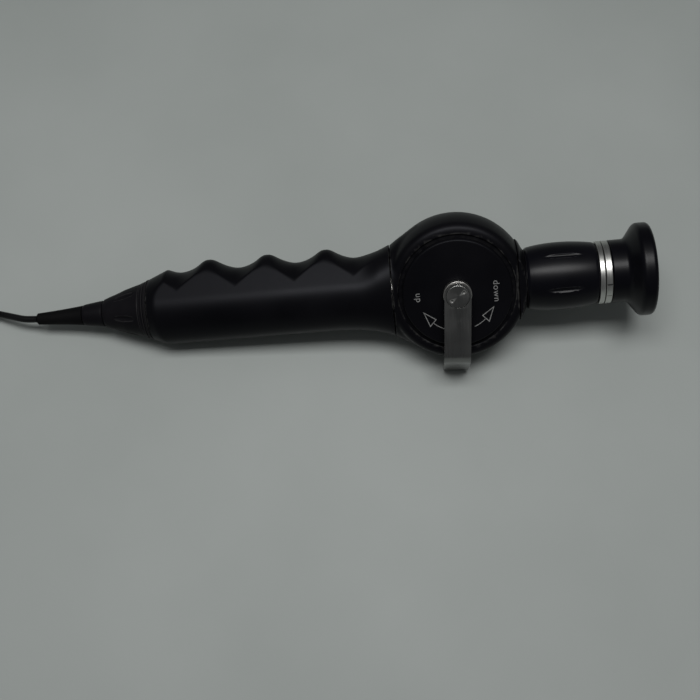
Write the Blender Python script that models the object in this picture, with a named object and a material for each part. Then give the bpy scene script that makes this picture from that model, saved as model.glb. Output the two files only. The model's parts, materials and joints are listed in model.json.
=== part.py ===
# Flexible fibre endoscope lying on a table, eyepiece towards +X.
# Every length is in millimetres until MM turns it into metres.
# The instrument has its own axes: X along the barrel to the eyepiece, Y to the finger side,
# Z along the pivot of the thumb lever, zero at the centre of the ball-shaped control head.

import math

import bmesh
import bpy
import numpy as np
from mathutils import Matrix, Vector

MM = 0.001
CLEARANCE = 0.3
FINE_CLEARANCE = 0.2
ROUND_SEGMENTS = 32
MIDDLE_SEGMENTS = 24
SMALL_SEGMENTS = 16
PIN_SEGMENTS = 8

# How the instrument lies on the table
BALL_PLACE = (41.26, 1.97, 22.36)
EYEPIECE_RISE = math.radians(5.3)
ROLL_TO_VIEWER = math.radians(38.5)

# Control head
HEAD_RADIUS = 25.3
HEAD_HALF_THICKNESS = 10.3
HEAD_EDGE_FILLET = 3.0
HEAD_CAVITY_RADIUS = 14.5
RECESS_RADIUS = 20.2
RECESS_DEPTH = 0.8
HANDLE_SEAM_X = -22.1
COLLAR_SEAM_X = 21.05

# Covers of the control head
COVER_RADIUS = 18.9
COVER_RISE = 1.4
COVER_CHAMFER = 0.6
SPIGOT_LENGTH = 2.6
SEAL_WIDTH = 1.2
SEAL_DEPTH = 0.9
COVER_SCREW_RING = 16.6
SCREW_HEAD_RADIUS = 1.5
SCREW_HEAD_HEIGHT = 0.9
SCREW_SHANK_RADIUS = 0.8
SCREW_LENGTH = 6.0

# Handle
HANDLE_LENGTH = 88.5
SHOULDER_LENGTH = 7.3
SHOULDER_RADIUS = 9.5
GRIP_RADIUS = 12.9
GRIP_HALF_WIDTH = 12.8
GRIP_RIDGE_HEIGHT = 17.25
SCALLOP_PITCH = 20.6
SCALLOP_COUNT = 4
FIRST_SCALLOP_X = -99.0
SCALLOP_CREST = 14.7
SCALLOP_TROUGH = 9.8
SEAM_LOWER_RADIUS = 16.5
SEAM_UPPER_RADIUS = 16.2
SEAM_HALF_WIDTH = 11.4

# Tube through the handle
CORE_TUBE_RADIUS = 7.6
CORE_TUBE_WALL = 0.9
CORE_TUBE_INSERTION = 3.0

# Nose, from the handle to the rubber boot
NOSE_LENGTH = 14.9
NOSE_GROOVE_RADIUS = 8.6
NOSE_END_RADIUS = 4.9
NOSE_FLUTES = 6
NOSE_FLUTE_LENGTH = 9.0
NOSE_FLUTE_WIDTH = 2.8
NOSE_FLUTE_DEPTH = 0.8
BOOT_NUT_LENGTH = 7.6
BOOT_NUT_RADIUS = 4.7
BOOT_LENGTH = 17.0
BOOT_ROOT_RADIUS = 3.1
BOOT_TIP_RADIUS = 1.8

# Insertion tube
TUBE_RADIUS = 1.25
TUBE_HEIGHT = 1.35

# Eyepiece end
COLLAR_RADIUS = 14.4
COLLAR_LENGTH = 3.3
OCULAR_TUBE_RADIUS = 8.6
OCULAR_TUBE_WALL = 1.1
FOCUS_RING_LENGTH = 23.4
FOCUS_RING_END_RADIUS = 10.3
FOCUS_RING_BELLY = 11.5
FOCUS_FLUTES = 6
FOCUS_FLUTE_LENGTH = 18.0
FOCUS_FLUTE_WIDTH = 2.6
FOCUS_FLUTE_DEPTH = 0.7
BARREL_RADIUS = 10.45
SCALE_RING_LENGTH = 2.0
INDEX_RING_LENGTH = 2.4
CUP_NECK_LENGTH = 6.6
CUP_CONE_LENGTH = 2.7
CUP_RIM_LENGTH = 3.9
CUP_RIM_RADIUS = 15.9
CUP_MOUTH_RADIUS = 12.9
CUP_WINDOW_RADIUS = 5.2
CUP_WINDOW_THICKNESS = 1.6
FOCUS_TRAVEL = 2.0
LENS_CELL_LENGTH = 9.0
LENS_RADIUS = 5.0

# Thumb lever and its shaft
LEVER_WIDTH = 9.3
LEVER_THICKNESS = 1.6
LEVER_HUB_HEIGHT = 2.6
LEVER_HUB_RADIUS = 4.9
LEVER_ARM = 22.8
LEVER_BEND = math.radians(62.0)
LEVER_BEND_RADIUS = 4.0
LEVER_FLANGE = 18.9
CAP_RADIUS = 3.95
CAP_THICKNESS = 1.3
CAP_HOLE_RADIUS = 0.5
CAP_HOLE_DEPTH = 0.7
CAP_HOLE_RING = 2.5
CAP_HOLE_ANGLE = math.radians(34.0)
SHAFT_RADIUS = 2.2
BUSH_WALL = 0.9

# Wire drum, wires and sheaths
DRUM_GROOVE_RADIUS = 3.6
DRUM_FLANGE_RADIUS = 4.1
DRUM_HEIGHT = 2.6
DRUM_BOTTOM = 1.3
WIRE_RADIUS = 0.2
WIRE_LENGTH = 40.0
SHEATH_RADIUS = 0.75
SHEATH_BORE = 0.45
GUIDE_BLOCK_X = -17.5
GUIDE_BLOCK_THICKNESS = 3.0
SHEATH_STOP_THICKNESS = 2.0

# Fibre bundles
IMAGE_GUIDE_RADIUS = 0.8
LIGHT_GUIDE_RADIUS = 1.1
LIGHT_GUIDE_DEPTH = 3.6
LIGHT_POST_LENGTH = 10.5
LIGHT_POST_RADIUS = 4.4
LIGHT_POST_FLANGE = 5.6

# Coil of the insertion tube and the bending section beyond it
COIL_PLACE = (-153.0, 26.8)
COIL_RADIUS = 15.0
COIL_HALF_WIDTH = 3.8
COIL_HEIGHT = 4.75
DISTAL_COLLAR_LENGTH = 6.0
FIRST_HINGE = (-188.3, 10.0)
LINK_COUNT = 7
LINK_PITCH = 3.5
LINK_RADIUS = 1.15
LINK_BORE = 0.6
KNUCKLE_RADIUS = 1.3
TIP_LENGTH = 7.0
TIP_LENS_RADIUS = 0.45

# Routes of the insertion tube on the table, from the boot to the coil and from the coil to the collar
ROUTE_TO_COIL = [
    (-109.7, 1.97, 8.34), (-114.5, 2.5, 7.7), (-120.0, 4.3, 6.5), (-126.0, 6.5, 4.6), (-132.0, 8.4, 2.7),
    (-138.0, 9.3, 1.6), (-142.9, 9.3, 1.35),
]
ROUTE_FROM_COIL = [
    (-164.2, 10.5, 3.3), (-170.0, 10.3, 2.0), (-176.0, 10.1, 1.4), (-182.0, 10.0, 1.35),
]


def new_collection_root():
    """Empties the file and returns the collection that everything goes in."""
    for obj in list(bpy.data.objects):
        bpy.data.objects.remove(obj, do_unlink=True)
    return bpy.context.scene.collection


COLLECTION = new_collection_root()


def add_empty(name, place=(0.0, 0.0, 0.0), rotation=(0.0, 0.0, 0.0), parent=None):
    empty = bpy.data.objects.new(name, None)
    empty.empty_display_size = 0.01
    empty.location = Vector(place) * MM
    empty.rotation_euler = rotation
    empty.parent = parent
    COLLECTION.objects.link(empty)
    return empty


def add_material(name, colour, roughness, metallic):
    made = bpy.data.materials.new(name)
    made.use_nodes = True
    shader = made.node_tree.nodes["Principled BSDF"]
    shader.inputs["Base Color"].default_value = (*colour, 1.0)
    shader.inputs["Roughness"].default_value = roughness
    shader.inputs["Metallic"].default_value = metallic
    return made


FINISHES = {
    "satin black": ((0.012, 0.012, 0.014), 0.5, 0.0),
    "anodised black": ((0.010, 0.010, 0.014), 0.3, 0.4),
    "rubber": ((0.010, 0.010, 0.010), 0.7, 0.0),
    "steel": ((0.45, 0.44, 0.42), 0.35, 1.0),
    "satin silver": ((0.60, 0.60, 0.58), 0.4, 1.0),
    "brass": ((0.55, 0.40, 0.18), 0.35, 1.0),
    "glass": ((0.80, 0.85, 0.88), 0.05, 0.0),
    "fibre": ((0.35, 0.33, 0.28), 0.5, 0.0),
}


def finish_object(name, bm, finish, parent, smooth_angle=35.0):
    """Turns a bmesh in millimetres into the named object, in metres, with its own material."""
    bmesh.ops.remove_doubles(bm, verts=bm.verts, dist=0.0005)
    bmesh.ops.recalc_face_normals(bm, faces=bm.faces)
    bmesh.ops.scale(bm, vec=(MM, MM, MM), verts=bm.verts)
    mesh = bpy.data.meshes.new(name)
    bm.to_mesh(mesh)
    bm.free()
    mesh.shade_smooth()
    mesh.set_sharp_from_angle(angle=math.radians(smooth_angle))
    obj = bpy.data.objects.new(name, mesh)
    mesh.materials.append(add_material(name, *FINISHES[finish]))
    obj.parent = parent
    COLLECTION.objects.link(obj)
    return obj


def spin_profile(bm, profile, axis, segments):
    """Turns a profile of (along the axis, radius) points round the X or the Z axis."""
    if axis == "X":
        corners = [bm.verts.new((along, radius, 0.0)) for along, radius in profile]
        direction = (1.0, 0.0, 0.0)
    else:
        corners = [bm.verts.new((radius, 0.0, along)) for along, radius in profile]
        direction = (0.0, 0.0, 1.0)
    edges = [bm.edges.new(pair) for pair in zip(corners, corners[1:])]
    if profile[0][1] > 0.0 or profile[-1][1] > 0.0:
        edges.append(bm.edges.new((corners[-1], corners[0])))
    bmesh.ops.spin(
        bm, geom=corners + edges, cent=(0.0, 0.0, 0.0), axis=direction,
        angle=math.tau, steps=segments, use_merge=True,
    )
    bmesh.ops.remove_doubles(bm, verts=bm.verts, dist=0.0005)


def turned(name, profile, finish, parent, axis="X", segments=ROUND_SEGMENTS, place=(0.0, 0.0, 0.0)):
    """A lathe-turned piece."""
    bm = bmesh.new()
    spin_profile(bm, profile, axis, segments)
    bmesh.ops.translate(bm, vec=place, verts=bm.verts)
    return finish_object(name, bm, finish, parent)


def cutter(name, parts, parent):
    """Joins closed bodies that don't touch into one hidden cutting tool."""
    bm = bmesh.new()
    for part in parts:
        mesh = bpy.data.meshes.new(name)
        part.to_mesh(mesh)
        part.free()
        bm.from_mesh(mesh)
        bpy.data.meshes.remove(mesh)
    tool = finish_object(name, bm, "steel", parent)
    tool.hide_render = True
    tool.display_type = "WIRE"
    return tool


def turned_body(profile, axis="X", segments=SMALL_SEGMENTS, place=(0.0, 0.0, 0.0), turn=None):
    """A turned body for a cutting tool, moved and turned to its place."""
    bm = bmesh.new()
    spin_profile(bm, profile, axis, segments)
    if turn is not None:
        bmesh.ops.rotate(bm, cent=(0.0, 0.0, 0.0), matrix=turn, verts=bm.verts)
    bmesh.ops.translate(bm, vec=place, verts=bm.verts)
    return bm


def rod_profile(start, end, radius):
    return [(start, 0.0), (start, radius), (end, radius), (end, 0.0)]


def tube_profile(start, end, radius, bore):
    return [(start, bore), (start, radius), (end, radius), (end, bore)]


def block_body(low, high):
    bm = bmesh.new()
    bmesh.ops.create_cube(bm, size=1.0)
    size = Vector(high) - Vector(low)
    bmesh.ops.scale(bm, vec=size, verts=bm.verts)
    bmesh.ops.translate(bm, vec=(Vector(high) + Vector(low)) / 2.0, verts=bm.verts)
    return bm


def cut(obj, tool, operation="DIFFERENCE"):
    step = obj.modifiers.new(operation.title(), "BOOLEAN")
    step.operation = operation
    step.object = tool
    step.solver = "EXACT"


def flute_tool(name, count, radius, middle, length, width, depth, parent, first_angle=0.0):
    """Long ellipsoids round the X axis, each cutting one shallow flute."""
    bodies = []
    for index in range(count):
        bm = bmesh.new()
        bmesh.ops.create_uvsphere(bm, u_segments=10, v_segments=8, radius=1.0)
        half_width = width / 2.0
        height = half_width * 1.6
        bmesh.ops.scale(bm, vec=(height, half_width * 1.15, length / 2.0 * 1.15), verts=bm.verts)
        bmesh.ops.rotate(bm, cent=(0.0, 0.0, 0.0), matrix=Matrix.Rotation(math.pi / 2.0, 3, "Y"), verts=bm.verts)
        bmesh.ops.translate(bm, vec=(middle, 0.0, radius - depth + height), verts=bm.verts)
        turn = Matrix.Rotation(first_angle + math.tau * index / count, 3, "X")
        bmesh.ops.rotate(bm, cent=(0.0, 0.0, 0.0), matrix=turn, verts=bm.verts)
        bodies.append(bm)
    return cutter(name, bodies, parent)


def smooth_value(points, x):
    """Reads a smooth curve through (x, value) points, without overshoot between them."""
    xs = np.array([p[0] for p in points])
    ys = np.array([p[1] for p in points])
    steps = np.diff(xs)
    slopes = np.diff(ys) / steps
    tangents = np.zeros(len(xs))
    tangents[0], tangents[-1] = slopes[0], slopes[-1]
    for i in range(1, len(xs) - 1):
        if slopes[i - 1] * slopes[i] > 0.0:
            tangents[i] = 2.0 * slopes[i - 1] * slopes[i] / (slopes[i - 1] + slopes[i])
    i = int(np.clip(np.searchsorted(xs, x) - 1, 0, len(steps) - 1))
    t = float(np.clip((x - xs[i]) / steps[i], 0.0, 1.0))
    left = (1.0 + 2.0 * t) * (1.0 - t) ** 2 * ys[i] + t * (1.0 - t) ** 2 * steps[i] * tangents[i]
    right = t * t * (3.0 - 2.0 * t) * ys[i + 1] + t * t * (t - 1.0) * steps[i] * tangents[i + 1]
    return left + right


def loft(bm, rings, closed_bore=None):
    """Skins rings of equal count; with bore rings given, the loft becomes a tube."""
    made = [[bm.verts.new(point) for point in ring] for ring in rings]
    count = len(made[0])
    for near, far in zip(made, made[1:]):
        for j in range(count):
            k = (j + 1) % count
            bm.faces.new((near[j], near[k], far[k], far[j]))
    if closed_bore is None:
        bm.faces.new(list(reversed(made[0])))
        bm.faces.new(made[-1])
        return
    bores = [[bm.verts.new(point) for point in ring] for ring in closed_bore]
    loops = [made[-1], bores[-1], bores[0], made[0]]
    for near, far in zip(loops, loops[1:]):
        for j in range(count):
            k = (j + 1) % count
            bm.faces.new((near[j], near[k], far[k], far[j]))


# Handle

HANDLE_FRONT_X = HANDLE_SEAM_X - CLEARANCE - HANDLE_LENGTH
SHOULDER_X = HANDLE_FRONT_X + SHOULDER_LENGTH
LOWER_RADIUS = [
    (HANDLE_FRONT_X, SHOULDER_RADIUS), (HANDLE_FRONT_X + 3.0, 11.4), (SHOULDER_X, GRIP_RADIUS),
    (SHOULDER_X + 60.0, GRIP_RADIUS), (HANDLE_SEAM_X - 12.0, 13.5), (HANDLE_SEAM_X - 5.0, 14.7),
    (HANDLE_SEAM_X, SEAM_LOWER_RADIUS), (HANDLE_SEAM_X + 3.0, 18.0), (HANDLE_SEAM_X + 7.0, 20.3),
    (HANDLE_SEAM_X + 10.0, 22.0),
]
UPPER_RADIUS = [
    (HANDLE_FRONT_X, SHOULDER_RADIUS), (HANDLE_FRONT_X + 3.0, 11.4), (SHOULDER_X, 13.2),
    (SHOULDER_X + 12.0, GRIP_RIDGE_HEIGHT), (HANDLE_SEAM_X - 8.0, GRIP_RIDGE_HEIGHT - 1.8),
    (HANDLE_SEAM_X, SEAM_UPPER_RADIUS), (HANDLE_SEAM_X + 3.0, 17.9), (HANDLE_SEAM_X + 7.0, 20.3),
    (HANDLE_SEAM_X + 10.0, 22.0),
]
HALF_WIDTH = [
    (HANDLE_FRONT_X, SHOULDER_RADIUS), (HANDLE_FRONT_X + 3.0, 11.4), (SHOULDER_X, GRIP_HALF_WIDTH),
    (HANDLE_SEAM_X - 12.0, GRIP_HALF_WIDTH), (HANDLE_SEAM_X, SEAM_HALF_WIDTH),
    (HANDLE_SEAM_X + 4.0, HEAD_HALF_THICKNESS), (HANDLE_SEAM_X + 10.0, HEAD_HALF_THICKNESS - 0.6),
]
GRIP_SIDE_STEPS = 4
GRIP_TOP_STEPS = 4
GRIP_LOWER_STEPS = 12
RIDGE_ANGLE_LIMIT = 1.35


def scallop_height(x):
    """Height of the finger scallops: a wave between troughs and crests, open at the ball."""
    phase = (x - FIRST_SCALLOP_X) / SCALLOP_PITCH
    if phase > SCALLOP_COUNT - 0.5:
        return GRIP_RIDGE_HEIGHT + CLEARANCE
    crest = SCALLOP_CREST
    if phase > SCALLOP_COUNT - 1.0:
        crest = GRIP_RIDGE_HEIGHT
    wave = (1.0 - math.cos(math.tau * phase)) / 2.0
    return SCALLOP_TROUGH + (crest - SCALLOP_TROUGH) * wave


def grip_section(x, height_limit):
    """One section across the handle: round below, a taller ridge above, cut off by the scallops."""
    lower = smooth_value(LOWER_RADIUS, x)
    upper = smooth_value(UPPER_RADIUS, x)
    half_width = smooth_value(HALF_WIDTH, x)
    limit_angle = math.asin(min(1.0, height_limit / upper))
    side = min(limit_angle, RIDGE_ANGLE_LIMIT)
    angles = [side * i / GRIP_SIDE_STEPS for i in range(GRIP_SIDE_STEPS)]
    angles += [side + (math.pi - 2.0 * side) * i / GRIP_TOP_STEPS for i in range(GRIP_TOP_STEPS)]
    angles += [math.pi - side + side * i / GRIP_SIDE_STEPS for i in range(GRIP_SIDE_STEPS)]
    angles += [math.pi + math.pi * i / GRIP_LOWER_STEPS for i in range(GRIP_LOWER_STEPS)]
    ring = []
    for angle in angles:
        height = upper * math.sin(angle) if math.sin(angle) >= 0.0 else lower * math.sin(angle)
        ring.append((x, min(height, height_limit), half_width * math.cos(angle)))
    return ring


def bore_ring(x, radius, count):
    """A round ring whose points follow the grip section's order."""
    angles = np.linspace(0.0, math.tau, count, endpoint=False)
    return [(x, radius * math.sin(angle), radius * math.cos(angle)) for angle in angles]


def build_handle(rest):
    shoulder = np.linspace(HANDLE_FRONT_X, SHOULDER_X, 5)[:-1]
    grip = np.linspace(SHOULDER_X, HANDLE_SEAM_X - CLEARANCE, 33)
    rings = [grip_section(x, scallop_height(x)) for x in [*shoulder, *grip]]
    count = len(rings[0])
    bore = CORE_TUBE_RADIUS + CLEARANCE
    bores = [bore_ring(x, bore, count) for x in (HANDLE_FRONT_X, HANDLE_SEAM_X - CLEARANCE)]
    bm = bmesh.new()
    loft(bm, rings, bores)
    finish_object("handle_grip", bm, "satin black", rest)


# Control head

COVER_SEAT = HEAD_HALF_THICKNESS - RECESS_DEPTH
COVER_TOP = HEAD_HALF_THICKNESS + COVER_RISE
SPIGOT_RADIUS = HEAD_CAVITY_RADIUS - CLEARANCE
OCULAR_BORE = OCULAR_TUBE_RADIUS + CLEARANCE
CORE_BORE = CORE_TUBE_RADIUS + CLEARANCE
CUT_REACH = HEAD_RADIUS + 10.0


def head_profile():
    """Half outline of the ball with its two flats and their rounded edges."""
    fillet = HEAD_EDGE_FILLET
    middle_z = HEAD_HALF_THICKNESS - fillet
    middle_r = math.sqrt((HEAD_RADIUS - fillet) ** 2 - middle_z ** 2)
    start = math.atan2(middle_z, middle_r)
    upper = [(HEAD_HALF_THICKNESS, 0.0), (HEAD_HALF_THICKNESS, middle_r)]
    for angle in np.linspace(math.pi / 2.0, start, 5)[1:]:
        upper.append((middle_z + fillet * math.sin(angle), middle_r + fillet * math.cos(angle)))
    for angle in np.linspace(start, 0.0, 4)[1:]:
        upper.append((HEAD_RADIUS * math.sin(angle), HEAD_RADIUS * math.cos(angle)))
    lower = [(-z, r) for z, r in reversed(upper[:-1])]
    return upper + lower


def screw_places():
    return [
        (COVER_SCREW_RING * math.cos(a), COVER_SCREW_RING * math.sin(a))
        for a in (math.radians(90.0 + 120.0 * i) for i in range(3))
    ]


def build_head(rest):
    shell = turned("head_shell", head_profile(), "satin black", rest, axis="Z")
    neck = bmesh.new()
    loft(neck, [grip_section(HANDLE_SEAM_X + step, HEAD_RADIUS) for step in (0.0, 2.0, 4.0, 7.0, 10.0)])
    cut(shell, cutter("neck_form", [neck], rest), "UNION")
    spool = [
        (-CUT_REACH, 0.0), (-CUT_REACH, RECESS_RADIUS), (-COVER_SEAT, RECESS_RADIUS),
        (-COVER_SEAT, HEAD_CAVITY_RADIUS), (COVER_SEAT, HEAD_CAVITY_RADIUS), (COVER_SEAT, RECESS_RADIUS),
        (CUT_REACH, RECESS_RADIUS), (CUT_REACH, 0.0),
    ]
    cut(shell, cutter("cavity_tool", [turned_body(spool, "Z", ROUND_SEGMENTS)], rest))
    trims = [
        block_body((-CUT_REACH, -CUT_REACH, -CUT_REACH), (HANDLE_SEAM_X, CUT_REACH, CUT_REACH)),
        block_body((COLLAR_SEAM_X, -CUT_REACH, -CUT_REACH), (CUT_REACH, CUT_REACH, CUT_REACH)),
    ]
    cut(shell, cutter("seam_tool", trims, rest))
    bores = [
        turned_body(rod_profile(-CUT_REACH, -1.0, CORE_BORE), "X"),
        turned_body(rod_profile(1.0, CUT_REACH, OCULAR_BORE), "X"),
    ]
    cut(shell, cutter("barrel_bores", bores, rest))
    hole = SCREW_SHANK_RADIUS + FINE_CLEARANCE
    holes = [
        turned_body(rod_profile(-CUT_REACH, -COVER_SEAT + SCREW_LENGTH, hole), "Z", PIN_SEGMENTS, (x, y, 0.0))
        for x, y in screw_places()
    ]
    cut(shell, cutter("screw_holes", holes, rest))


def cover_profile(hole):
    """A cover: chamfered disc in the recess, with a spigot that carries the sealing ring."""
    seat = COVER_SEAT + CLEARANCE
    spigot_end = COVER_SEAT - SPIGOT_LENGTH
    seal_low = spigot_end + 0.6
    groove = SPIGOT_RADIUS - SEAL_DEPTH
    return [
        (COVER_TOP, hole), (COVER_TOP, COVER_RADIUS - COVER_CHAMFER), (COVER_TOP - COVER_CHAMFER, COVER_RADIUS),
        (seat, COVER_RADIUS), (seat, SPIGOT_RADIUS), (seal_low + SEAL_WIDTH + 2.0 * FINE_CLEARANCE, SPIGOT_RADIUS),
        (seal_low + SEAL_WIDTH + 2.0 * FINE_CLEARANCE, groove), (seal_low, groove), (seal_low, SPIGOT_RADIUS),
        (spigot_end, SPIGOT_RADIUS), (spigot_end, hole),
    ]


def seal_profile():
    low = COVER_SEAT - SPIGOT_LENGTH + 0.6 + FINE_CLEARANCE
    bore = SPIGOT_RADIUS - SEAL_DEPTH + FINE_CLEARANCE
    return tube_profile(low, low + SEAL_WIDTH, SPIGOT_RADIUS + 0.05, bore)


def flipped(profile):
    """The same profile on the back of the head."""
    return [(-along, radius) for along, radius in profile]


BUSH_RADIUS = SHAFT_RADIUS + FINE_CLEARANCE + BUSH_WALL
POST_NECK_RADIUS = LIGHT_POST_RADIUS - 1.2
POST_BORE = LIGHT_GUIDE_RADIUS + FINE_CLEARANCE


def build_covers(rest):
    turned("front_cover", cover_profile(BUSH_RADIUS + FINE_CLEARANCE), "satin black", rest, axis="Z")
    turned("front_seal", seal_profile(), "rubber", rest, axis="Z")
    back_profile = flipped(cover_profile(POST_NECK_RADIUS + FINE_CLEARANCE))
    back = turned("back_cover", back_profile, "satin black", rest, axis="Z")
    turned("back_seal", flipped(seal_profile()), "rubber", rest, axis="Z")
    shank = SCREW_SHANK_RADIUS + FINE_CLEARANCE
    head = SCREW_HEAD_RADIUS + FINE_CLEARANCE
    shelf = -COVER_TOP + SCREW_HEAD_HEIGHT + FINE_CLEARANCE
    profile = [(-CUT_REACH, 0.0), (-CUT_REACH, head), (shelf, head), (shelf, shank), (0.0, shank), (0.0, 0.0)]
    holes = [turned_body(profile, "Z", PIN_SEGMENTS, (x, y, 0.0)) for x, y in screw_places()]
    cut(back, cutter("cover_screw_holes", holes, rest))
    under_head = -COVER_TOP + SCREW_HEAD_HEIGHT
    screw = [
        (-COVER_TOP, 0.0), (-COVER_TOP, SCREW_HEAD_RADIUS), (under_head, SCREW_HEAD_RADIUS),
        (under_head, SCREW_SHANK_RADIUS), (-COVER_SEAT + SCREW_LENGTH - 1.0, SCREW_SHANK_RADIUS),
        (-COVER_SEAT + SCREW_LENGTH - 1.0, 0.0),
    ]
    for index, (x, y) in enumerate(screw_places(), 1):
        turned(f"cover_screw_{index}", screw, "steel", rest, "Z", PIN_SEGMENTS, (x, y, 0.0))
    build_light_post(rest)


def build_light_post(rest):
    """Post for the light cable on the back cover, with its glass window."""
    inner = -COVER_SEAT
    face = -COVER_TOP - CLEARANCE
    end = -COVER_TOP - LIGHT_POST_LENGTH
    window_seat = end + 1.4
    window_radius = 2.4
    post = [
        (inner, POST_BORE), (inner, POST_NECK_RADIUS), (face, POST_NECK_RADIUS), (face, LIGHT_POST_FLANGE),
        (face - 2.0, LIGHT_POST_FLANGE), (face - 2.6, LIGHT_POST_RADIUS - 0.8), (face - 5.0, LIGHT_POST_RADIUS - 0.8),
        (face - 5.6, LIGHT_POST_RADIUS), (end + 0.5, LIGHT_POST_RADIUS), (end, LIGHT_POST_RADIUS - 0.5),
        (end, window_radius), (window_seat, window_radius), (window_seat, POST_BORE),
    ]
    turned("light_post", post, "steel", rest, "Z", SMALL_SEGMENTS)
    glass = rod_profile(end + 0.2, window_seat - FINE_CLEARANCE, window_radius - FINE_CLEARANCE)
    turned("light_post_window", glass, "glass", rest, "Z", SMALL_SEGMENTS)


# Nose and strain relief

NOSE_START_X = HANDLE_FRONT_X - CLEARANCE
NOSE_END_X = NOSE_START_X - NOSE_LENGTH
NUT_START_X = NOSE_END_X - CLEARANCE
NUT_END_X = NUT_START_X - BOOT_NUT_LENGTH
BOOT_START_X = NUT_END_X - CLEARANCE
BOOT_END_X = BOOT_START_X - BOOT_LENGTH
CORE_TUBE_FRONT_X = NOSE_START_X - 5.0
TUBE_BORE = TUBE_RADIUS + FINE_CLEARANCE


def build_nose(rest):
    socket_end = CORE_TUBE_FRONT_X - CLEARANCE
    outer = [
        (NOSE_START_X, SHOULDER_RADIUS - 0.1), (NOSE_START_X - 0.9, NOSE_GROOVE_RADIUS),
        (NOSE_START_X - 1.7, NOSE_GROOVE_RADIUS + 0.15), (NOSE_START_X - 4.0, 8.0), (NOSE_START_X - 8.9, 6.5),
        (NOSE_START_X - 12.5, 5.5), (NOSE_END_X + 0.6, NOSE_END_RADIUS), (NOSE_END_X, NOSE_END_RADIUS - 0.4),
    ]
    inner = [
        (NOSE_END_X, TUBE_BORE), (socket_end - 6.0, TUBE_BORE), (socket_end, 4.6),
        (socket_end, CORE_TUBE_RADIUS - 0.9), (socket_end + 2.0, CORE_TUBE_RADIUS - 0.9),
        (NOSE_START_X, CORE_TUBE_RADIUS - 0.9),
    ]
    nose = turned("nose_cone", outer + inner, "satin black", rest)
    middle = NOSE_START_X - 8.0
    tool = flute_tool(
        "nose_flute_tool", NOSE_FLUTES, 6.8, middle, NOSE_FLUTE_LENGTH, NOSE_FLUTE_WIDTH, NOSE_FLUTE_DEPTH, rest,
        math.radians(20.0),
    )
    cut(nose, tool)
    nut = [
        (NUT_START_X, TUBE_BORE), (NUT_START_X, BOOT_NUT_RADIUS - 0.4), (NUT_START_X - 0.5, BOOT_NUT_RADIUS),
        (NUT_END_X, BOOT_ROOT_RADIUS), (NUT_END_X, TUBE_BORE),
    ]
    turned("boot_nut", nut, "satin black", rest, "X", SMALL_SEGMENTS)
    boot = [
        (BOOT_START_X, TUBE_BORE), (BOOT_START_X, BOOT_ROOT_RADIUS),
        ((BOOT_START_X + BOOT_END_X) / 2.0, (BOOT_ROOT_RADIUS + BOOT_TIP_RADIUS) / 2.0 - 0.15),
        (BOOT_END_X + 0.3, BOOT_TIP_RADIUS), (BOOT_END_X, BOOT_TIP_RADIUS - 0.15), (BOOT_END_X, TUBE_BORE),
    ]
    turned("strain_relief", boot, "rubber", rest, "X", SMALL_SEGMENTS)
    ferrule = rod_profile(BOOT_END_X + 0.2, NOSE_END_X + 6.0, TUBE_RADIUS)
    turned("tube_root", ferrule, "rubber", rest, "X", PIN_SEGMENTS)


CORE_TUBE_BACK_X = HANDLE_SEAM_X + CORE_TUBE_INSERTION
CORE_TUBE_BORE = CORE_TUBE_RADIUS - CORE_TUBE_WALL
WIRE_OFFSET = DRUM_FLANGE_RADIUS + CLEARANCE + WIRE_RADIUS
WIRE_HEIGHT = DRUM_BOTTOM + DRUM_HEIGHT / 2.0
SHEATH_FRONT_X = NOSE_START_X + 3.0


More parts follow.
